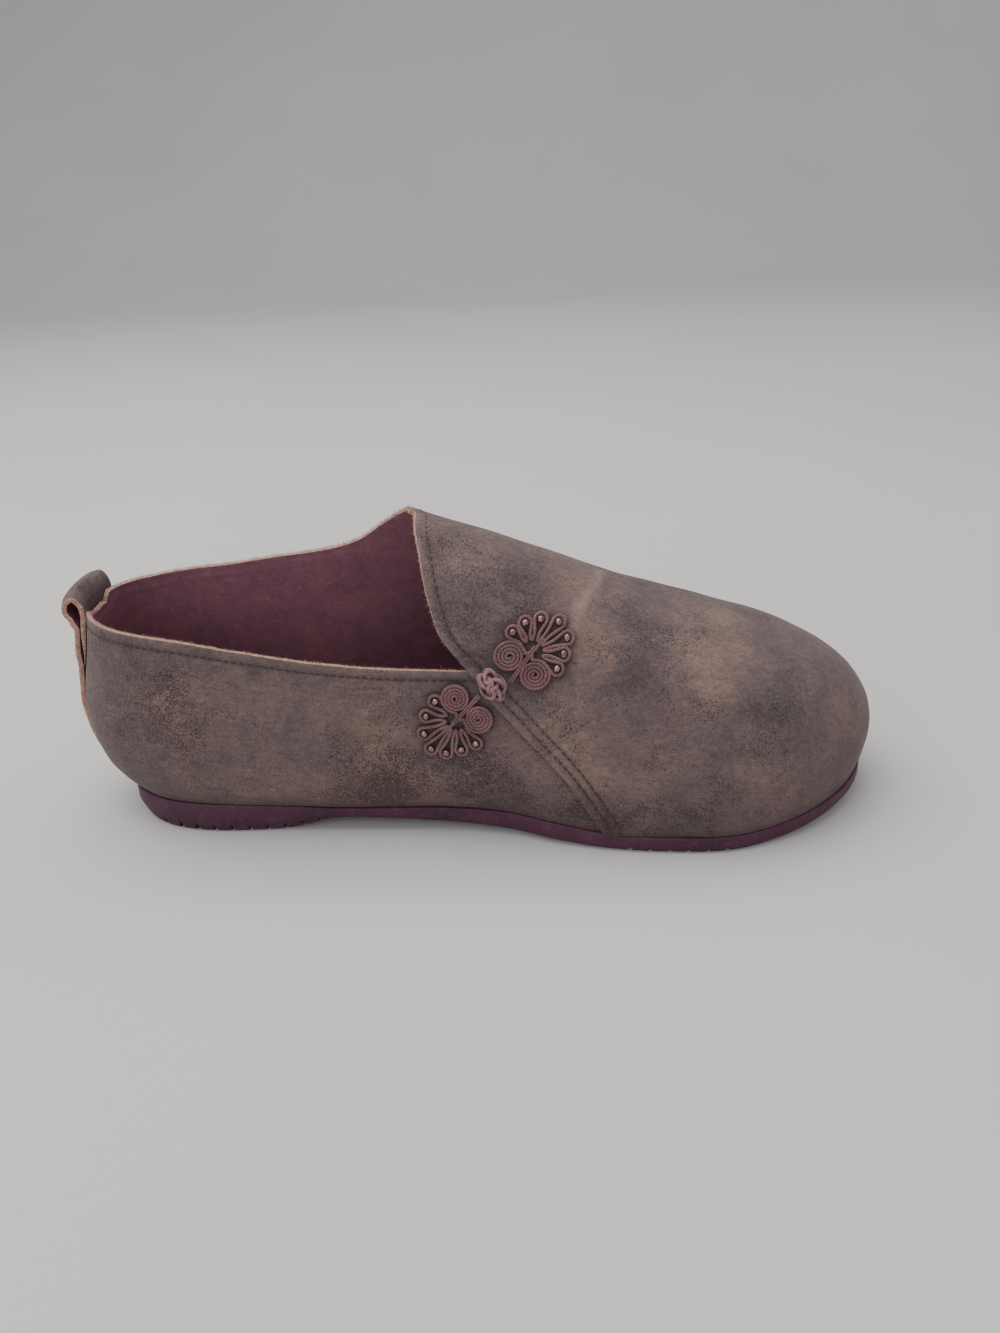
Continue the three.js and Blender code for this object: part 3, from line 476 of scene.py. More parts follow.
def leather_material(name, masked):
    """Brushed, mottled leather. A masked piece carries its own marks in vertex attributes."""
    m = Nodes(name, 0.28, 0.12, 0.5, (0.85, 0.7, 0.66))
    fine, grains = m.noise(760, 4, 0.75), m.noise(1900, 3, 0.7)
    cloud, drift = m.noise(26, 3, 0.6, 0.3), m.noise(85, 5, 0.7, 0.5)
    mark = lambda key, weight: [(m.attribute(key), weight)] if masked else []
    # The tone mark holds the leather's patches, plus painted light up top and painted shade low down.
    tone_and_painted_light = m.total(-0.29, (cloud, 0.3), (drift, 0.52), (fine, 0.5), (grains, 0.3), *mark("tone_and_painted_light", 0.21))
    colour = m.ramp(
        tone_and_painted_light,
        (0.24, (0.066, 0.041, 0.042)),
        (0.38, (0.09, 0.062, 0.064)),
        (0.5, (0.123, 0.089, 0.09)),
        (0.62, (0.168, 0.112, 0.102)),
        (0.76, (0.222, 0.143, 0.121)),
    )
    cool = m.ramp(m.noise(38, 3, 0.6), (0.48, 0.0), (0.66, 0.6))
    colour = m.blend(cool, colour, (0.106, 0.084, 0.088))
    rosy = m.ramp(m.noise(31, 3, 0.6, 0.6), (0.54, 0.0), (0.72, 0.4))
    colour = m.blend(rosy, colour, (0.172, 0.1, 0.1))
    brushed = m.ramp(m.noise(560, 4, 0.75, 0.2, (0.6, 1, 1.25)), (0.3, 0.7), (0.7, 1.28))
    colour = m.blend(0.75, colour, brushed, "MULTIPLY")
    where = m.total(m.noise(52, 4, 0.7), *mark("speck", 0.26))
    dense = m.ramp(where, (0.46, 0.0), (0.84, 0.205))
    speck = m.ramp(m.total(1.0, (grains, -1.0), (dense, 1.0)), (0.59, 0.0), (0.69, 0.85))
    colour = m.blend(speck, colour, (0.042, 0.025, 0.027))
    if masked:
        pale = m.math("MULTIPLY", m.attribute("pale"), m.ramp(fine, (0.3, 0.35), (0.6, 1.0)))
        colour = m.blend(pale, colour, (0.33, 0.235, 0.2))
        # Painted shade: the dark mark darkens the stitch grooves, the quarter beside the seam's step,
        # the leather under the frog's cords and the lowest part by the sole.
        colour = m.blend(m.attribute("dark"), colour, (0.052, 0.03, 0.031))
    grain = m.total(m.noise(1250, 4, 0.7), (speck, -0.5))
    normal = m.bump(m.noise(210, 4, 0.6, 0.5), 0.22, 0.0008)
    normal = m.bump(grain, 0.55, 0.0002, normal)
    rough = m.ramp(m.noise(300, 3), (0.3, 0.68), (0.7, 0.86))
    return m.finish(colour, rough, normal)


def edge_material():
    """The cut edge of the leather: pale fibres over tan."""
    m = Nodes("cut_edge", 0.25, 0.3, 0.6)
    fibres = m.noise(1700, 4, 0.7, 0.6)
    tan, pale = (0.45, 0.25, 0.18), (0.8, 0.58, 0.46)
    colour = m.ramp(fibres, (0.32, (0.24, 0.11, 0.08)), (0.5, tan), (0.68, pale))
    normal = m.bump(fibres, 0.7, 0.0003)
    return m.finish(colour, 0.9, normal)


def suede_material(name, light, dark):
    """The flesh side of the leather: short fibres that catch the light, with shade painted darker far
    down.
    """
    m = Nodes(name, 0.2, 0.4, 0.4, (0.75, 0.35, 0.42))
    nap = m.noise(95, 5, 0.7, 0.8)
    fibres = m.noise(900, 4, 0.72, 1.2, (0.6, 1, 0.8))
    colour = m.blend(m.ramp(nap, (0.32, 0.0), (0.68, 1.0)), dark, light)
    colour = m.blend(m.ramp(fibres, (0.55, 0.0), (0.78, 0.6)), colour, tuple(1.9 * c for c in light))
    # Painted shade: the lining darkens towards a shaded copy of its colour further into the shoe.
    colour = m.blend(m.attribute("painted_depth_shade"), colour, tuple(0.28 * c for c in dark))
    normal = m.bump(m.noise(260, 3, 0.6), 0.3, 0.0006)
    normal = m.bump(fibres, 0.6, 0.0003, normal)
    return m.finish(colour, 0.95, normal)


def rubber_material():
    m = Nodes("sole_rubber", 0.4, Coat_Weight=0.05, Coat_Roughness=0.5)
    blotch = m.noise(60, 4, 0.6)
    colour = m.ramp(blotch, (0.3, (0.042, 0.01, 0.025)), (0.7, (0.084, 0.019, 0.05)))
    dust = m.ramp(m.noise(420, 4, 0.7), (0.52, 0.0), (0.75, 0.35))
    colour = m.blend(dust, colour, (0.17, 0.07, 0.12))
    rough = m.ramp(m.noise(240, 3), (0.3, 0.5), (0.7, 0.72))
    normal = m.bump(m.noise(800, 3, 0.6), 0.3, 0.00025)
    return m.finish(colour, rough, normal)


def cord_material():
    m = Nodes("cord", 0.3, 0.35, 0.5, (0.9, 0.65, 0.68))
    hue = m.noise(110, 3, 0.6)
    colour = m.ramp(hue, (0.32, (0.2, 0.092, 0.1)), (0.68, (0.33, 0.18, 0.18)))
    thread = m.noise(2600, 2, 0.6)
    shade = m.ramp(thread, (0.3, 0.6), (0.7, 1.3))
    colour = m.blend(0.85, colour, shade, "MULTIPLY")
    # Painted shade: near black in the grooves between plies, on the cords' undersides and in the knot's
    # core.
    painted_hollow_shade = m.attribute("painted_hollow_shade")
    colour = m.blend(m.math("MULTIPLY", painted_hollow_shade, 0.95), colour, (0.03, 0.009, 0.012))
    normal = m.bump(thread, 0.5, 0.0002)
    return m.finish(colour, 0.8, normal)


def bead_material():
    m = Nodes("bead_metal", 0.5, Metallic=0.92)
    tarnish = m.noise(900, 3, 0.6)
    colour = m.ramp(tarnish, (0.35, (0.17, 0.09, 0.08)), (0.65, (0.42, 0.28, 0.25)))
    rough = m.ramp(tarnish, (0.3, 0.34), (0.7, 0.2))
    return m.finish(colour, rough, m.bump(tarnish, 0.15, 0.0001))


def thread_material():
    m = Nodes("thread", 0.35, 0.2)
    twist = m.noise(3000, 2)
    colour = m.ramp(twist, (0.3, (0.02, 0.012, 0.013)), (0.7, (0.06, 0.034, 0.034)))
    return m.finish(colour, 0.7, m.bump(twist, 0.4, 0.0001))


def floor_material():
    m = Nodes("floor", 0.3)
    colour = m.ramp(m.noise(3, 3, 0.5), (0.3, (0.62, 0.61, 0.6)), (0.7, (0.66, 0.65, 0.64)))
    return m.finish(colour, 0.85, m.bump(m.noise(500, 3), 0.05, 0.0005))


LEATHER = leather_material("leather", True)
STRIP_LEATHER = leather_material("strip_leather", False)
EDGE = edge_material()
LINING = suede_material("lining", (0.33, 0.145, 0.185), (0.21, 0.095, 0.13))
INSOLE = suede_material("insole_suede", (0.19, 0.08, 0.1), (0.11, 0.045, 0.065))
RUBBER = rubber_material()
CORD = cord_material()
BEAD = bead_material()
THREAD = thread_material()


# ---------------- mesh building
def make(name, points, faces, materials, slots=None, sharp=38, attributes=(), replaces=()):
    """A mesh piece from points in millimetres. slots gives each face its material."""
    mesh = bpy.data.meshes.new(name)
    at = (np.asarray(points, float).reshape(-1, 3) - ORIGIN) / 1000
    mesh.from_pydata(at.tolist(), [], faces if isinstance(faces, list) else faces.tolist())
    for material in materials:
        mesh.materials.append(material)
    if slots is not None:
        mesh.polygons.foreach_set("material_index", np.asarray(slots, np.int32))
    for key, values in dict(attributes).items():
        layer = mesh.attributes.new(key, "FLOAT", "POINT")
        layer.data.foreach_set("value", np.asarray(values, np.float32).ravel())
    mesh.validate()
    mesh.update()
    mesh.shade_smooth()
    mesh.set_sharp_from_angle(angle=math.radians(sharp))
    piece = add(name, mesh)
    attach(piece, "root")
    if replaces:
        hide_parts(*replaces)


def ring_faces(rings, count, closed=False, first=0):
    """Quads between rings of points that lie one after another."""
    i, k = np.arange(rings if closed else rings - 1)[:, None], np.arange(count)
    j, after = (i + 1) % rings, (k + 1) % count
    quads = [i * count + k, i * count + after, j * count + after, j * count + k]
    return first + np.stack(quads, -1).reshape(-1, 4)


def tube_faces(rings, count, first=0, flip=False):
    """The quads between rings of points, and a flat face at each end."""
    near = [first + k for k in range(count)]
    far = [k + (rings - 1) * count for k in near]
    ends = [near, far[::-1]] if flip else [near[::-1], far]
    return ring_faces(rings, count, first=first).tolist() + ends


def with_step(columns):
    """The quarter's own column at the seam's step, just before the vamp's."""
    return np.insert(columns, SEAM_COLUMN, columns[SEAM_COLUMN], axis=0)


# ---------------- the upper
# Marks on the outer side: x, z, reach along x, reach along z, tone (+ tan, - dark), speckle
MARKS = [
    (112, 84, 20, 14, -0.5, 0.2), (116, 88, 9, 7, 0.8, 0.0), (134, 80, 18, 10, -0.8, 0.3),
    (120, 66, 14, 12, -0.4, 0.3), (150, 66, 12, 16, 0.9, 0.0), (167, 60, 12, 18, -0.7, 0.1),
    (190, 56, 15, 12, 1.0, 0.0), (205, 40, 13, 10, -0.9, 0.3), (199, 26, 11, 9, 0.9, 0.2),
    (226, 36, 12, 12, 0.4, 0.1), (150, 14, 10, 7, -0.6, 1.0), (176, 12, 16, 6, -0.4, 1.0),
    (150, 30, 20, 14, 0.8, 0.0), (120, 18, 13, 11, -0.3, 1.0), (98, 22, 24, 10, 1.0, 0.4),
    (78, 14, 22, 8, 0.2, 0.8), (10, 46, 12, 20, -0.3, 0.7), (24, 46, 12, 14, 0.7, 0.2),
    (38, 32, 16, 13, 0.2, 0.1), (62, 18, 24, 9, 0.7, 0.1), (62, 50, 16, 9, 0.5, 0.0),
    (90, 40, 14, 14, 0.9, 0.0), (104, 30, 12, 12, -0.5, 0.4),
]

# Stitch rows beside the seam's raw edge, and the worn dip in the collar's back
SEAM_ROWS = (2.5, 5.3)
DIP_DEPTH, DIP_FROM, DIP_TO = 3.2, -13.0, 7.5

# Creases: start, end, width, depth (+ stands up), paleness
CREASES = [
    ((156, 4, 73.4), (149, -19, 70.5), 1.5, 0.75, 0.8),
    ((159, 4, 72.6), (152.5, -20, 69), 2.2, -0.5, 0.0),
    ((149, -19, 70.5), (145, -31, 63), 2.2, 0.4, 0.35),
    ((171, 6, 69), (166, -12, 67.5), 2.4, -0.35, 0.0),
    ((178, 8, 66), (188, -12, 64), 4.5, -0.35, 0.0),
    ((186, 14, 63), (199, -10, 61), 4.0, 0.3, 0.1),
    ((206, 2, 60), (216, -24, 50), 5.0, -0.3, 0.0),
    ((140, -41, 34), (149, -40, 40), 1.1, 0.12, 0.45),
    ((8, -31, 40), (22, -34, 26), 6.0, -0.35, 0.0),
    ((60, -33, 45), (84, -33, 32), 8.0, -0.4, 0.0),
    ((88, 32, 50), (120, 38, 40), 8.0, -0.5, 0.0),
    ((200, 44, 24), (222, 34, 28), 7.0, -0.3, 0.0),
]


def to_polyline(points, line):
    """Distance from each point to the nearest of a run of close points."""
    flat = points.reshape(-1, 3)
    best = np.empty(len(flat))
    for i in range(0, len(flat), 4000):
        gap = flat[i : i + 4000, None] - line[None]
        best[i : i + 4000] = np.sqrt((gap**2).sum(-1).min(-1))
    return best.reshape(points.shape[:-1])


def to_crease(points, a, b):
    """Distance from each point to the line on the leather between two places."""
    straight = mix(np.array(a, float), np.array(b, float), np.linspace(0, 1, 30)[:, None])
    up = normal_at(straight)
    return to_polyline(points, cast_out(straight - 8 * up, up))


def seam_line(count=160):
    z = np.linspace(float(foot_z(SEAM_FOOT_X)), CORNER[1], count)
    return on_side(seam_x(z), z, True)


def relief(p, rim, seam, lapped, creases):
    """How far the leather stands proud of the smooth last, in millimetres."""
    high = (0.28 * soft_noise(p, 42, 3) + 0.09 * soft_noise(p, 15, 5)) * ease(rim / 12)
    for far, depth, _ in creases:
        high = high + depth * far
    stitched = rim_row(len(p))[:, None]
    high = high - 0.26 * bell(rim - stitched, 0.55) + 0.1 * bell(rim - stitched / 2, 1.3)
    for row in SEAM_ROWS:
        high = high - lapped * 0.26 * bell(seam - row, 0.5)
    return high + lapped * 0.1 * bell(seam - 3.9, 0.9)


def rim_row(count):
    """The distance of the edge's stitches from it, column by column."""
    at = [0, SEAM_COLUMN, SEAM_COLUMN + 12, VAMP_END, count]
    return np.interp(np.arange(count), at, [3.7, 2.8, 3.0, 3.3, 3.7])


def dipped(grid):
    """The collar's back edge cut down beside the pull loop, where the leather is worn."""
    for column in grid:
        x, y, _ = column[-1]
        depth = DIP_DEPTH * float(ease((y - DIP_FROM) / 8) * ease((DIP_TO - y) / 3.5)) * (x < 20)
        depth *= 1 + 0.16 * float(soft_noise(column[-1:], 1.6, 17)[0])
        if depth:
            reach = run_length(column)
            column[:] = sample(column, reach, reach - depth * ease((reach - reach[-1]) / 14 + 1))
    return grid


def leather_marks(base, rim, seam, lapped, creases):
    """What the leather's material reads at each point: tone with painted light and shade, speckle, pale
    rub and painted shade.
    """
    x, z = base[..., 0], base[..., 2]
    outer_side = ease((axis_y(x) - base[..., 1] + 8) / 16)
    wander_x, wander_z = soft_noise(base, 16, 21), soft_noise(base, 16, 22)
    tone_and_painted_light, speck = np.zeros(x.shape), np.zeros(x.shape)
    for mx, mz, rx, rz, strength, specks in MARKS:
        far = ((x - mx) / rx + 0.35 * wander_x) ** 2 + ((z - mz) / rz + 0.35 * wander_z) ** 2
        tone_and_painted_light += strength * np.exp(-far) * outer_side
        speck += specks * np.exp(-far) * outer_side
    # Painted light: the upper vamp and ridge are lighter. Painted shade: the lowest part of the side is
    # darker.
    tone_and_painted_light += 0.5 * ease((z - 52) / 26) * (x > CORNER[0] - 30) - 0.12 * (1 - ease((z - 8) / 22))
    pale = 0.3 * bell(rim, 1.2) * (0.7 + 0.3 * soft_noise(base, 6, 31))
    pale += lapped * 0.15 * bell(seam, 1.0)
    for near, _, paleness in creases:
        pale += paleness * near
    # Painted shade: darker along the sunk grooves of the rim's stitch row and the seam's stitch rows.
    dark = 0.5 * bell(rim - rim_row(len(base))[:, None], 0.6)
    for row in SEAM_ROWS:
        dark += lapped * 0.45 * bell(seam - row, 0.55)
    # Painted shade on the quarter beside the step of the vamp's lapped edge.
    dark += ~lapped * 0.45 * bell(seam, 1.5) * (x < SEAM[0][1] * SOLE_LENGTH + 2)
    # Painted shadow on the leather under and around the frog's cords.
    cords = np.concatenate([bend(*path, 0) for label in HALVES for path in frog_paths(label)])
    near_frog = np.linalg.norm(base - FROG_ORIGIN, axis=-1) < 34
    dark[near_frog] += 0.85 * bell(to_polyline(base[near_frog], cords), 1.5)
    # Painted shade: darker in the corner by the sole and towards the bottom of the side.
    low = foot_z(x)
    dark += 0.45 * bell(z - low, 2.0) + 0.14 * (1 - ease((z - low) / 22))
    return {"tone_and_painted_light": tone_and_painted_light, "speck": speck, "pale": clamp01(pale), "dark": clamp01(dark)}


def build_upper():
    base = dipped(outside_grid())
    normals = normal_at(base)
    normals[:, 0] = unit(normals[:, 0] * LEVEL)
    rim, seam = to_polyline(base, base[:, -1]), to_polyline(base, seam_line())
    lapped = np.zeros(base.shape[:2], bool)
    lapped[SEAM_COLUMN:VAMP_END] = True
    lap = lapped * lap_at(base)
    creases = [(bell(to_crease(base, a, b), width), depth, pale) for a, b, width, depth, pale in CREASES]
    high = relief(base, rim, seam, lapped, creases)
    fray = (0.16 * soft_noise(base, 1.7, 8) + 0.1 * soft_noise(base, 5, 9)) * bell(rim, 0.9)
    outer = base + normals * (lap + high + 0.35 * fray)[..., None]
    inner = base - normals * (WALL - 0.6 * high)[..., None]

    # Across the top edge the cut leather is rounded over and slightly frayed.
    up = unit(base[:, -1] - base[:, -4])
    rims = []
    for share in (0.12, 0.35, 0.65, 0.88):
        mid = mix(outer[:, -1], inner[:, -1], share)
        proud = 0.32 * math.sin(math.pi * share) ** 0.6
        proud = proud + 0.16 * soft_noise(mid + 7 * share, 1.6, 12) + 0.08 * soft_noise(mid, 4, 13)
        rims.append(mid + up * proud[:, None])
    loop = with_step(np.concatenate([outer, np.stack(rims, 1), inner[:, ::-1]], axis=1))
    flat = base[SEAM_COLUMN] + normals[SEAM_COLUMN] * high[SEAM_COLUMN][:, None] * 0.2
    loop[SEAM_COLUMN, : ROWS + 1] = flat
    columns, depth = loop.shape[:2]
    faces = ring_faces(columns, depth, True)[:, ::-1]
    c, r = np.meshgrid(np.arange(columns), np.arange(depth), indexing="ij")
    edge_end = ROWS + np.where(c <= SEAM_COLUMN, 3, 5)
    raw = ((r >= ROWS) & (r < edge_end)) | (r == depth - 1) | ((c == SEAM_COLUMN) & (r < ROWS))
    slots = np.where(raw, 2, np.where(r < ROWS, 0, 1)).ravel()

    # The lining's painted shade: darker further from the rim, down into the shoe.
    attributes = {"painted_depth_shade": np.zeros((columns, depth))}
    attributes["painted_depth_shade"][:, -ROWS - 1 :] = 0.5 * ease((with_step(rim)[:, ::-1] - 5) / 45)
    for key, value in leather_marks(base, rim, seam, lapped, creases).items():
        attributes[key] = np.zeros((columns, depth))
        attributes[key][:, : ROWS + 1] = with_step(value)
    coats = [LEATHER, LINING, EDGE]
    make("upper_leather", loop, faces, coats, slots, 48, attributes, ("upper",))
    return base, normals, rim, lap + high, [(ring, up, normals[:, -1]) for ring in rims[:3]]


def build_fibres(edges, each=2.4):
    """Short loose fibres that stand out of the leather's raw edges."""
    draw = np.random.default_rng(11)
    points, faces = [], []
    for line, ups, asides in edges:
        reach = run_length(line)
        number = int(reach[-1] * each)
        at = draw.uniform(0, reach[-1], number)
        root, up, aside = (sample(rows, reach, at) for rows in (line, ups, asides))
        way = unit(up + draw.normal(0, 0.55, (number, 3)) + 0.25 * aside)
        curl = draw.normal(0, 0.22, (number, 3))
        length = (draw.uniform(0.3, 0.75, number) * (1 + (draw.random(number) < 0.12)))[:, None]
        across = unit(np.cross(way, aside + 0.01))
        other = np.cross(way, across)
        for share, thick in ((-0.15, 0.05), (0.5, 0.04), (1.0, 0.012)):
            middle = root + way * share * length + curl * share * share * length
            for angle in (0, 2.1, 4.2):
                points.append(middle + (across * math.cos(angle) + other * math.sin(angle)) * thick)
        # A fibre's nine points lie `number` apart: three rings of three.
        rings = ring_faces(3, 3) * number + sum(map(len, points)) - 9 * number
        faces.append((np.arange(number)[:, None, None] + rings).reshape(-1, 4))
    make("edge_fibres", np.concatenate(points), np.concatenate(faces), [EDGE])


# ---------------- stitches
STITCH_PITCH, STITCH_LENGTH, STITCH_RADIUS = 2.3, 1.9, 0.21
STITCH_LIFT = np.array([-0.2, 0.03, 0.1, 0.03, -0.2])[:, None]
STITCH_SWELL = np.array([0.55, 0.95, 1, 0.95, 0.55])[:, None]


def stitch_row(line, ups):
    """Small sunk stitches along a line of points."""
    reach = run_length(line)
    number = int((reach[-1] - 1) // STITCH_PITCH)
    along, around = len(STITCH_LIFT), 6
    at = 0.5 + STITCH_PITCH * np.arange(number)[:, None] + np.linspace(0, STITCH_LENGTH, along)
    spot, up = sample(line, reach, at), unit(sample(ups, reach, at))
    side = unit(np.cross(unit(np.gradient(spot, axis=1)), up))
    angle = circle(around)
    thick = STITCH_RADIUS * STITCH_SWELL
    high, wide = STITCH_LIFT + 0.8 * thick * np.sin(angle), thick * np.cos(angle)
    return spot[:, :, None] + up[:, :, None] * high[..., None] + side[:, :, None] * wide[..., None]


def build_stitches(base, normals, rim, high):
    raised = base + normals * high[..., None]
    half = ROWS // 2
    spots, ups = [], []
    for c, row in enumerate(rim_row(len(base))):
        # The rim's distance falls towards the top row: find where it passes the stitch row.
        r = float(np.interp(-row, -rim[c, half:], np.arange(half, ROWS + 1)))
        low = min(int(r), ROWS - 1)
        spots.append(mix(raised[c, low], raised[c, low + 1], r - low))
        ups.append(normals[c, low])
    spots, ups = np.array(spots), np.array(ups)
    parts = slice(2, SEAM_COLUMN), slice(SEAM_COLUMN + 1, None)
    rows = [stitch_row(spots[part], ups[part]) for part in parts]
    z = np.linspace(float(foot_z(SEAM_FOOT_X)) + 0.6, CORNER[1] - 2, 120)
    x = seam_x(z)
    way = unit(np.stack([np.gradient(x), np.gradient(z)], -1))
    for row in SEAM_ROWS:
        p = on_side(x + row * way[:, 1], z - row * way[:, 0], True)
        n = normal_at(p)
        lift = lap_at(p) - 0.24
        rows.append(stitch_row(p + n * lift[:, None], n))
    points = np.concatenate(rows)
    number, along, around = points.shape[:3]
    faces = [f for i in range(number) for f in tube_faces(along, around, i * along * around, flip=True)]
    make("stitching", points, faces, [THREAD], sharp=60)


# ---------------- the sole and the insole
def foot_edges(x):
    """Outer and inner edge points at stations x, with level normals."""
    edges = [on_side(x, foot_z(x), outer) for outer in (True, False)]
    return [(p, unit(normal_at(p) * LEVEL)) for p in edges]


def foot_stations(count):
    """Places along the foot, closer together towards both ends."""
    return mix(*foot_ends(0.04), (1 - np.cos(np.linspace(0, math.pi, count))) / 2)


def at_height(p, z):
    return np.stack([p[:, 0], p[:, 1], z + 0 * p[:, 0]], -1)


INSOLE_HEIGHT = 3.0
# from and to as shares of the sole's length, depth share
NOTCH_RUNS = [(0.045, 0.262, 1.0), (0.665, 0.8, 0.7)]
NOTCH_WIDTH, NOTCH_DEPTH, NOTCH_PITCH, NOTCH_REACH = 1.4, 1.2, 5.9, 9.0


def build_sole():
    stations = list(foot_stations(181))
    notches = []
    for start, end, depth in NOTCH_RUNS:
        for x in np.arange(start * SOLE_LENGTH, end * SOLE_LENGTH, NOTCH_PITCH):
            notches.append((x, depth))
            flanks = x - NOTCH_WIDTH / 2, x + NOTCH_WIDTH / 2
            stations += [x] + [flank + step for flank in flanks for step in (-0.12, 0, 0.12)]
    x = np.unique(np.round(stations, 3))
    x = x[np.concatenate([[True], np.diff(x) > 0.05])]
    (po, no), (pi, ni) = foot_edges(x)
    cut = np.zeros(len(x))
    for at, depth in notches:
        cut = np.maximum(cut, np.where(np.abs(x - at) < NOTCH_WIDTH / 2 - 0.06, NOTCH_DEPTH * depth, 0))
    low, top = sole_bottom(x), sole_top(x)
    m = SOLE_MARGIN
    # inset from the foot line, height share
    wall = [
        (1.6, 1.0), (-m + 0.35, 1.0), (-m + 0.1, 0.975), (-m, 0.93), (-m + 0.06, 0.72),
        (-m + 0.02, 0.5), (-m, 0.35), (0.1, 0.12), (0.45, 0.03),
    ]
    sides = []
    for p, n in ((po, no), (pi, ni)):
        ring = []
        for inset, share in wall:
            z = mix(low, top, share) + np.where(share < 0.2, cut * (1 - share), 0)
            ring.append(at_height(p - n * inset, z))
        sides.append(ring)
    width = np.linalg.norm(po - pi, axis=1)
    outer_floor, inner_floor = [], []
    for inset in (0.9, 2.5, 5.0, NOTCH_REACH - 0.1, NOTCH_REACH + 0.2):
        share = np.minimum(inset / np.maximum(width, 0.1), 0.48)[:, None]
        z = low + np.where(inset < NOTCH_REACH, cut, 0)
        outer_floor.append(at_height(mix(po, pi, share), z))
        inner_floor.append(at_height(mix(pi, po, share), z))
    middle = [at_height(mix(po, pi, 0.5), low)]
    points = np.stack(sides[0] + outer_floor + middle + inner_floor[::-1] + sides[1][::-1], 1)
    faces = tube_faces(len(x), points.shape[1])
    make("sole_rubber", points, faces, [RUBBER], sharp=42, replaces=("outsole",))


def build_insole():
    x = foot_stations(141)
    (po, no), (pi, ni) = foot_edges(x)
    inset = WALL + CLEARANCE + 0.2
    a, b = po - no * inset, pi - ni * inset
    base = sole_top(x) + CLEARANCE
    ring = []
    for s in np.linspace(0, 1, 21):
        rise = INSOLE_HEIGHT - 0.5 * (1 - ease(min(s, 1 - s) / 0.03)) - 0.55 * math.sin(math.pi * s) ** 2
        q = at_height(mix(a, b, s), base + rise)
        q[:, 2] += 0.12 * soft_noise(q, 20, 41)
        ring.append(q)
    ring += [at_height(mix(a, b, s), base) for s in (1.0, 0.5, 0.0)]
    points = np.stack(ring, 1)
    faces = tube_faces(len(x), points.shape[1])
    make("insole_sock", points, faces, [INSOLE], replaces=("insole",))


# ---------------- the heel strip
# How far the strip's middle lies off the quarter, alone and over its tucked end
SINGLE = STRIP_GAP + STRIP_THICKNESS / 2
DOUBLE = SINGLE + STRIP_THICKNESS + STRIP_GAP
# share along, height beside the loop's, distance off the quarter, breadth share
STRIP_ROWS = [
    (0.0, -59.6, SINGLE, 0.62), (0.07, -53, SINGLE, 0.68), (0.23, -37, SINGLE, 0.79),
    (0.32, -28, SINGLE, 0.85), (0.385, -21.5, SINGLE + 0.35, 0.89),
    (0.46, -14.5, DOUBLE - 0.25, 0.94), (0.54, -7, DOUBLE, 1), (0.59, -3.6, 5.2, 1),
    (0.64, 0, 7.4, 1), (0.685, 2.9, 6.6, 1), (0.725, 3.8, 4.3, 1), (0.765, 2.6, 2.1, 1),
    (0.8, 0, SINGLE, 1), (1.0, -19.5, SINGLE, 0.92),
]
strip_up, strip_off, strip_share = (curve(STRIP_ROWS, k) for k in (1, 2, 3))


def strip_point(t, q):
    y = q * STRIP_WIDTH * strip_share(t) / 2
    z = LOOP_HEIGHT + strip_up(t)
    start = np.stack([np.full(y.shape, SOLE_LENGTH * 0.13), y, np.minimum(z, BACK_HEIGHT - 1.5)], -1)
    rear = np.array([-1.0, 0, 0])
    p = cast_out(start, rear + 0 * start)
    off = strip_off(t)
    straight = ease((off - DOUBLE) / 3)
    out = unit(mix(normal_at(p), rear, straight[..., None]))
    p = p + out * off[..., None]
    p[..., 2] = z + out[..., 2] * off * (1 - straight) + LOOP_TILT * y * straight
    p[..., 0] -= LOOP_TILT * y * straight
    return p


def build_strip():
    runs = ((0, 0.5, 110), (0.5, 0.82, 110), (0.82, 1, 40))
    t = np.append(np.concatenate([np.linspace(*run)[:-1] for run in runs]), 1)
    q = np.linspace(-1, 1, 25)
    tt, qq = np.meshgrid(t, q, indexing="ij")
    mid = strip_point(tt, qq)
    step = 0.004
    along = strip_point(np.minimum(tt + step, 1), qq) - strip_point(np.maximum(tt - step, 0), qq)
    across = strip_point(tt, qq + 0.05) - strip_point(tt, qq - 0.05)
    n = unit(np.cross(along, across)) * STRIP_THICKNESS / 2
    # The tucked end is pared thin on its outer face, so the strip lies close over it.
    pared = 0.85 * ease((t - 0.87) / 0.13)[:, None, None]
    wave = 1 + 0.08 * soft_noise(mid, 7, 51)[..., None]
    front, rear = mid + n * wave * (1 - pared), mid - n * (1 - pared)
    inward = np.where((tt > 0.8)[..., None], unit(normal_at(mid)), 0)
    front, rear = (side - inward * STRIP_THICKNESS / 2 * pared for side in (front, rear))
    fray = 0.1 * soft_noise(mid, 1.8, 52)[..., None] * unit(across)
    edges = []
    for k, way, a, b in ((-1, 1, front, rear), (0, -1, rear, front)):
        arc = []
        for share in (0.2, 0.5, 0.8):
            bulge = 0.16 * math.sin(math.pi * share) * way
            arc.append(mix(a[:, k], b[:, k], share) + unit(across[:, k]) * bulge + fray[:, k])
        edges.append(np.stack(arc, 1))
    ring = np.concatenate([front, edges[0], rear[:, ::-1], edges[1]], axis=1)
    count, wide = ring.shape[1], len(q)
    where = np.tile(np.arange(count), len(t) - 1)
    slots = np.where(where < wide - 1, 0, 1)
    slots = np.where((where >= wide + 3) & (where < 2 * wide + 2), 2, slots)
    coats = [STRIP_LEATHER, EDGE, LINING]
    faces, slots = tube_faces(len(t), count), np.append(slots, [1, 1])
    make("heel_loop", ring, faces, coats, slots, replaces=("heel_strip",))
    return [(edge[:, 1], -unit(across[:, k]), n[:, k]) for edge, k in zip(edges, (-1, 0))]


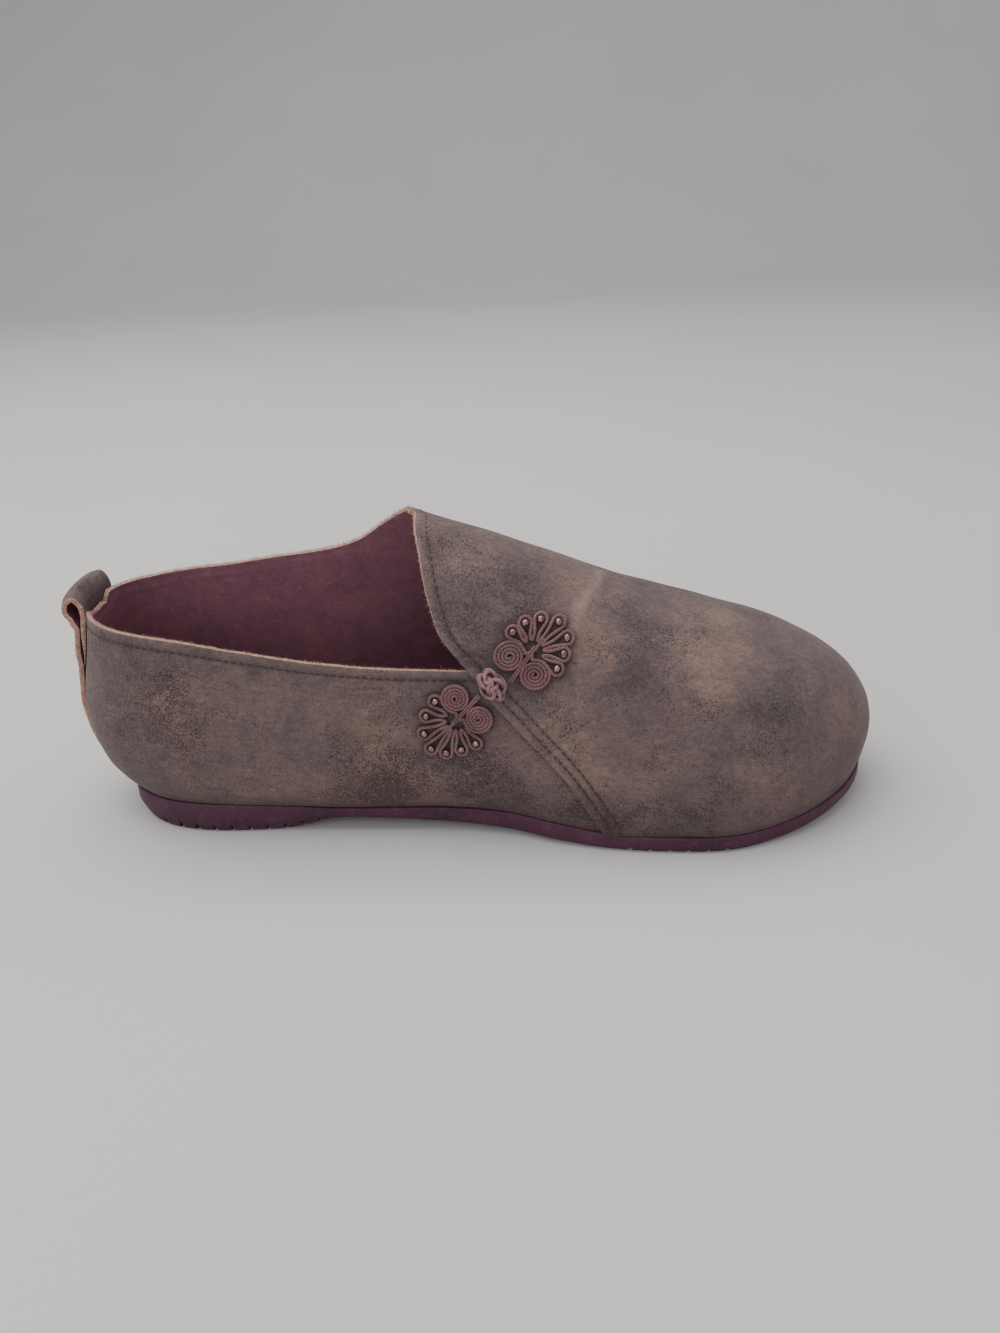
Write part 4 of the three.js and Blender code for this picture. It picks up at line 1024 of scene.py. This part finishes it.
# ---------------- the frog fastener
FROG_ORIGIN = on_side(SOLE_LENGTH * 0.502, PEAK_HEIGHT * 0.543, True)
FROG_UP = normal_at(FROG_ORIGIN)
FROG_TILT = math.radians(39)
FROG_ALONG = np.array([math.cos(FROG_TILT), 0, math.sin(FROG_TILT)])
FROG_ALONG = unit(FROG_ALONG - FROG_UP * (FROG_ALONG @ FROG_UP))
FROG_ACROSS = unit(np.cross(FROG_ALONG, FROG_UP))


def bend(a, b, h):
    """Points laid over the leather: a along the frog, b across it, h above the leather."""
    start = FROG_ORIGIN + a[..., None] * FROG_ALONG + b[..., None] * FROG_ACROSS - 26 * FROG_UP
    p = cast_out(start, FROG_UP + 0 * start)
    ahead = lap_ahead(p[..., 0], p[..., 2])
    raised = np.where(ahead >= 0, lap_height(ahead), LAP_STEP * (1 - ease(-ahead / 4)))
    return p + normal_at(p) * (h + raised)[..., None]


MIDDLE = CLEARANCE + CORD_HEIGHT / 2
# side, along, across, turn, wide, then the beads' places: p away from the knot, q across
HALVES = {
    "front": (
        (1, 10.3, 0.3, 15, 1.08),
        [(6, -7.9), (10.1, -6.5), (13.4, -3.4), (15.6, 1.4), (13.6, 6), (9.5, 7.9), (5.2, 8.8)],
    ),
    "rear": (
        (-1, 10.6, 0, 8, 1),
        [(6.5, -9.1), (11.1, -7.3), (15.2, -4.6), (17.4, -0.4), (15, 4.3), (10.3, 7.5), (4.9, 8.5)],
    ),
}
# Where a half's cords gather, and how far the cord's loop reaches past a bead's middle
HUB, LOOP_END = 4.8, 1.8
COIL_ASIDE, COIL_TURNS, COIL_START, COIL_PITCH = 4.6, 4.0, 0.35, 1.0
WIDE_ANGLE = math.radians(52)
TURN_RADIUS, NECK_SHARE, NECK_HALF = 3.4, 0.58, 0.7
KNOT_AT, KNOT_LIFT, KNOT_RADIUS = (0.7, -1.2), 0.3, 0.6
KNOT_HALF = np.array([3.8, 5.25, 2.7])
KNOT_CORE = np.array([2.75, 4.15, 1.85])
CORD_STEP, TWILL_LENGTH = 0.24, 1.15
STEM_BREADTH, STEM_HEIGHT, STEM_START = 0.72, 1.2, -5.6


def place(half, p, q):
    """From a half's own p, away from the knot, and q, across, to the frog's a and b."""
    side, along, across, turn, _ = half
    t = math.radians(turn)
    q = q + across
    a = side * (along + p * math.cos(t) + q * math.sin(t))
    return a, side * (q * math.cos(t) - p * math.sin(t))


def resample(a, b, step):
    points = np.stack([a, b, 0 * a], -1)
    even = spread(points, max(8, int(run_length(points)[-1] / step)))
    return even[:, 0], even[:, 1]


def plaited(a, b, h, breadth, height, first, sides=10):
    """A flat plaited cord along a run of points on the leather: two plies with a groove between."""
    da, db = np.gradient(a), np.gradient(b)
    run = np.maximum(np.hypot(da, db), 1e-9)
    reach = np.cumsum(np.hypot(np.diff(a, prepend=a[0]), np.diff(b, prepend=b[0])))
    angle = circle(sides, 0.5)
    twill = np.cos(angle * 2 - 2 * math.pi * reach[:, None] / TWILL_LENGTH)
    groove = np.abs(np.sin(angle)) ** 6
    swell = 1 + 0.075 * twill - 0.12 * groove
    out, up = breadth / 2 * np.cos(angle) * swell, height / 2 * np.sin(angle) * swell
    points = bend(a[:, None] - (db / run)[:, None] * out, b[:, None] + (da / run)[:, None] * out, h + up)
    # How deep each point lies between the plies, for the shade painted into the cord's colour
    painted_depth_shade = clamp01(0.55 - 0.5 * np.sin(angle) + 0.14 * (1 - twill) + 0.25 * groove)
    return points.reshape(-1, 3), tube_faces(len(a), sides, first, flip=True), painted_depth_shade.ravel()


def coil_path(half, aside):
    i = np.arange(int(COIL_TURNS * 48) + 1) / 48
    turned = np.radians(-45 + 360 * (COIL_TURNS - i))
    r = COIL_START + COIL_PITCH * i
    p, q = r * np.cos(turned), r * np.sin(turned) * np.sign(aside)
    more = (half[4] - 1) * (p * math.cos(WIDE_ANGLE) + q * math.sin(WIDE_ANGLE))
    a, b = place(half, p + more * math.cos(WIDE_ANGLE), aside + q + more * math.sin(WIDE_ANGLE))
    end = place(half, HUB - 0.4, aside * 0.07)
    return np.append(a, end[0]), np.append(b, end[1])


def turn_point(fan, i):
    """Where the cord turns near the hub, between one bead's loop and the next."""
    near = fan[min(max(i, 0), len(fan) - 1)]
    following = fan[min(max(i + 1, 0), len(fan) - 1)]
    p, q = near[0] + following[0] - 2 * HUB, near[1] + following[1]
    far = math.hypot(p, q)
    shift = 0.8 * (1 if i < 0 else -1) if i < 0 or i == len(fan) - 1 else 0
    return HUB + p / far * TURN_RADIUS + q / far * shift, q / far * TURN_RADIUS - p / far * shift


def smooth_run(points, each=10):
    """A rounded run through points, by Catmull-Rom."""
    points = np.array(points, float)
    k = np.concatenate([[2 * points[0] - points[1]], points, [2 * points[-1] - points[-2]]])
    run = []
    t = np.linspace(0, 1, each, endpoint=False)[:, None]
    for a, b, c, d in zip(k, k[1:], k[2:], k[3:]):
        curved = (2 * a - 5 * b + 4 * c - d) * t**2 + (3 * b - a - 3 * c + d) * t**3
        run.append(0.5 * (2 * b + (c - a) * t + curved))
    return np.concatenate(run + [points[-1:]])


def fan_path(half, fan):
    """One cord that meanders round all the beads of a half."""
    run = [turn_point(fan, -1)]
    for i, (p, q) in enumerate(fan):
        far = math.hypot(p - HUB, q)
        up, uq = (p - HUB) / far, q / far

        def at(along, aside):
            return HUB + up * along - uq * aside, uq * along + up * aside

        run.append(at(far * NECK_SHARE, -NECK_HALF))
        for angle in (-100, -65, -32, 0, 32, 65, 100):
            t = math.radians(angle)
            run.append(at(far + LOOP_END * math.cos(t), LOOP_END * math.sin(t)))
        run.append(at(far * NECK_SHARE, NECK_HALF))
        run.append(turn_point(fan, i))
    run = smooth_run(run)
    return place(half, run[:, 0], run[:, 1])


def frog_paths(label):
    """The winding cord of a half's fan, then its two coils."""
    half, fan = HALVES[label]
    return [fan_path(half, fan), coil_path(half, -COIL_ASIDE), coil_path(half, COIL_ASIDE)]


def build_half(label):
    half, fan = HALVES[label]
    points, faces, painted_depth_shade = [], [], []

    def lay(path, lift, breadth=CORD_BREADTH, height=CORD_HEIGHT):
        first = sum(map(len, points))
        p, f, d = plaited(*resample(*path, CORD_STEP), MIDDLE + lift, breadth, height, first)
        points.append(p)
        faces.extend(f)
        painted_depth_shade.append(d)

    for shift in (-0.34, 0.34):
        lay(place(half, np.linspace(STEM_START, HUB + 1.9, 24), shift), 0.05, STEM_BREADTH, STEM_HEIGHT)
    winding, *coils = frog_paths(label)
    for coil in coils:
        lay(coil, 0.1, CORD_BREADTH * 0.97)
    lay(winding, 0)
    lay(place(half, np.linspace(HUB + 1, HUB + TURN_RADIUS + 1.6, 12), fan[3][1] * 0.3), 0.05)
    # The cord's painted shade, deepest between the plies, goes onto the mesh.
    points, marks = np.concatenate(points), {"painted_hollow_shade": np.concatenate(painted_depth_shade)}
    make(f"frog_{label}_cord", points, faces, [CORD], None, 70, marks, (f"frog_{label}",))


def build_knot():
    """A woven button: four leads that pass over and under each other over a core painted dark as shade.
    """
    bights, leads, sides = 5, 4, 10
    t = leads * circle(560)
    tilt = math.radians(48) + math.radians(39) * np.cos(bights * t / leads)
    weave = 0.34 * np.sin((leads - 1) * bights * t / leads)
    radii = KNOT_HALF - np.array([KNOT_RADIUS, KNOT_RADIUS, 0.5])
    t = t + 0.12 * np.sin(2 * t) + 0.1 * np.sin(t / 2)
    way = np.stack([np.sin(tilt) * np.cos(t), np.sin(tilt) * np.sin(t), np.cos(tilt)], -1)
    path = way * radii + way * weave[:, None]
    tangent = unit(np.roll(path, -1, axis=0) - np.roll(path, 1, axis=0))
    side = unit(np.cross(tangent, unit(way / radii)))
    up = np.cross(side, tangent)
    angle = circle(sides)
    r = KNOT_RADIUS * (1 + 0.08 * np.cos(2 * angle - 2 * math.pi * run_length(path)[:, None] / 1.1))
    out, rise = (r * np.cos(angle))[..., None], (0.75 * r * np.sin(angle))[..., None]
    cords = path[:, None] + side[:, None] * out + up[:, None] * rise
    # Painted shade: darker on the leads' undersides and where they pass under one another.
    painted_depth_shade = clamp01(0.68 - 0.5 * np.sin(angle) - 1.5 * weave[:, None])
    u = np.linspace(0, math.pi, 15)[:, None]
    v = circle(28)
    core = np.stack([np.sin(u) * np.cos(v), np.sin(u) * np.sin(v), np.cos(u) + 0 * v], -1) * KNOT_CORE
    local = np.concatenate([cords.reshape(-1, 3), core.reshape(-1, 3)])
    lift = CLEARANCE + KNOT_HALF[2] + KNOT_LIFT
    points = bend(KNOT_AT[0] + local[:, 0], KNOT_AT[1] + local[:, 1], lift + local[:, 2])
    faces = ring_faces(len(t), sides, True).tolist() + ring_faces(15, 28, False, len(t) * sides).tolist()
    # The core is painted in full shade.
    marks = {"painted_hollow_shade": np.append(painted_depth_shade, np.ones(core.shape[:2]))}
    make("frog_knot_cord", points, faces, [CORD], None, 70, marks, ("frog_knot",))


def build_bead(label, number, p, q):
    """A small turned bead with a hole along its thread."""
    profile = [(0.28, -0.72), (0.34, -0.92), (0.52, -0.97), (0.74, -0.78), (0.93, -0.42), (1.0, 0.0)]
    profile += [(radius, -along) for radius, along in profile[-2::-1]]
    half = HALVES[label][0]
    a0, b0 = place(half, p, q)
    far = math.hypot(p - HUB, q)
    a1, b1 = place(half, p + (p - HUB) / far, q + q / far)
    way = np.array([a1 - a0, b1 - b0])
    side = np.array([-way[1], way[0]])
    radius, along = np.array(profile).T[..., None]
    v = circle(20)
    a, b = (start + s * along + w * radius * np.cos(v) for start, s, w in zip((a0, b0), side, way))
    points = bend(a, b, CLEARANCE + 1 + radius * np.sin(v))
    faces = ring_faces(len(profile), len(v), True)
    node = f"bead_{label}_{number}"
    make(f"{node}_metal", points, faces, [BEAD], sharp=60, replaces=(node,))


base, normals, rim, high, raw_edges = build_upper()
build_stitches(base, normals, rim, high)
build_sole()
build_insole()
build_fibres(raw_edges + build_strip())
for label in HALVES:
    build_half(label)
    for number, (p, q) in enumerate(HALVES[label][1], 1):
        build_bead(label, number, p, q)
build_knot()


# ---------------- stage, light and camera
def build_floor():
    """A pale floor that curves up into a backdrop far behind the shoe."""
    turns = [math.radians(90 * i / 12) for i in range(1, 13)]
    curved = [(1.5 + 0.8 * math.sin(a), 0.8 * (1 - math.cos(a))) for a in turns]
    profile = [(-1.6, 0.0), (1.5, 0.0), *curved, (2.3, 2.6)]
    points = [(x, y, z) for y, z in profile for x in (-2.6, 2.6)]
    faces = [(2 * i, 2 * i + 1, 2 * i + 3, 2 * i + 2) for i in range(len(profile) - 1)]
    mesh = bpy.data.meshes.new("floor")
    mesh.from_pydata(points, [], faces)
    mesh.materials.append(floor_material())
    mesh.shade_smooth()
    add("floor", mesh)


def stand(thing, place, turn):
    """Puts a lamp or a camera at a place in metres, turned in degrees."""
    thing.location = place
    thing.rotation_euler = Euler([math.radians(a) for a in turn])


def area_light(name, place, turn, size, power, colour):
    light = bpy.data.lights.new(name, "AREA")
    light.shape = "RECTANGLE"
    light.size, light.size_y = size
    light.energy = power
    light.color = colour
    stand(add(name, light), place, turn)


# The photograph's camera in the frame, in metres and degrees, lens and sensor in millimetres
CAMERA_AT, CAMERA_TURN = (0.026706, -0.29559, 0.189444), (63.665, 2.63615, 2.14520)
CAMERA_LENS, CAMERA_SENSOR = 27.007, 36

build_floor()
area_light("key", (-0.35, 0.2, 1.25), (-9, -16, 0), (1.5, 1.2), 18, (1.0, 0.98, 0.95))
area_light("front", (-0.35, -1.1, 0.7), (58, 0, -16), (1.4, 0.8), 3.6, (1.0, 0.985, 0.97))

world = bpy.data.worlds.new("studio")
world.use_nodes = True
sky = world.node_tree.nodes["Background"].inputs
sky[0].default_value, sky[1].default_value = (0.97, 0.97, 1.0, 1), 0.55
bpy.context.scene.world = world

camera_data = bpy.data.cameras.new("camera")
camera_data.lens = CAMERA_LENS
camera_data.sensor_width = CAMERA_SENSOR
camera_data.clip_start = 0.01
camera = add("camera", camera_data)
stand(camera, CAMERA_AT, CAMERA_TURN)
bpy.context.scene.camera = camera

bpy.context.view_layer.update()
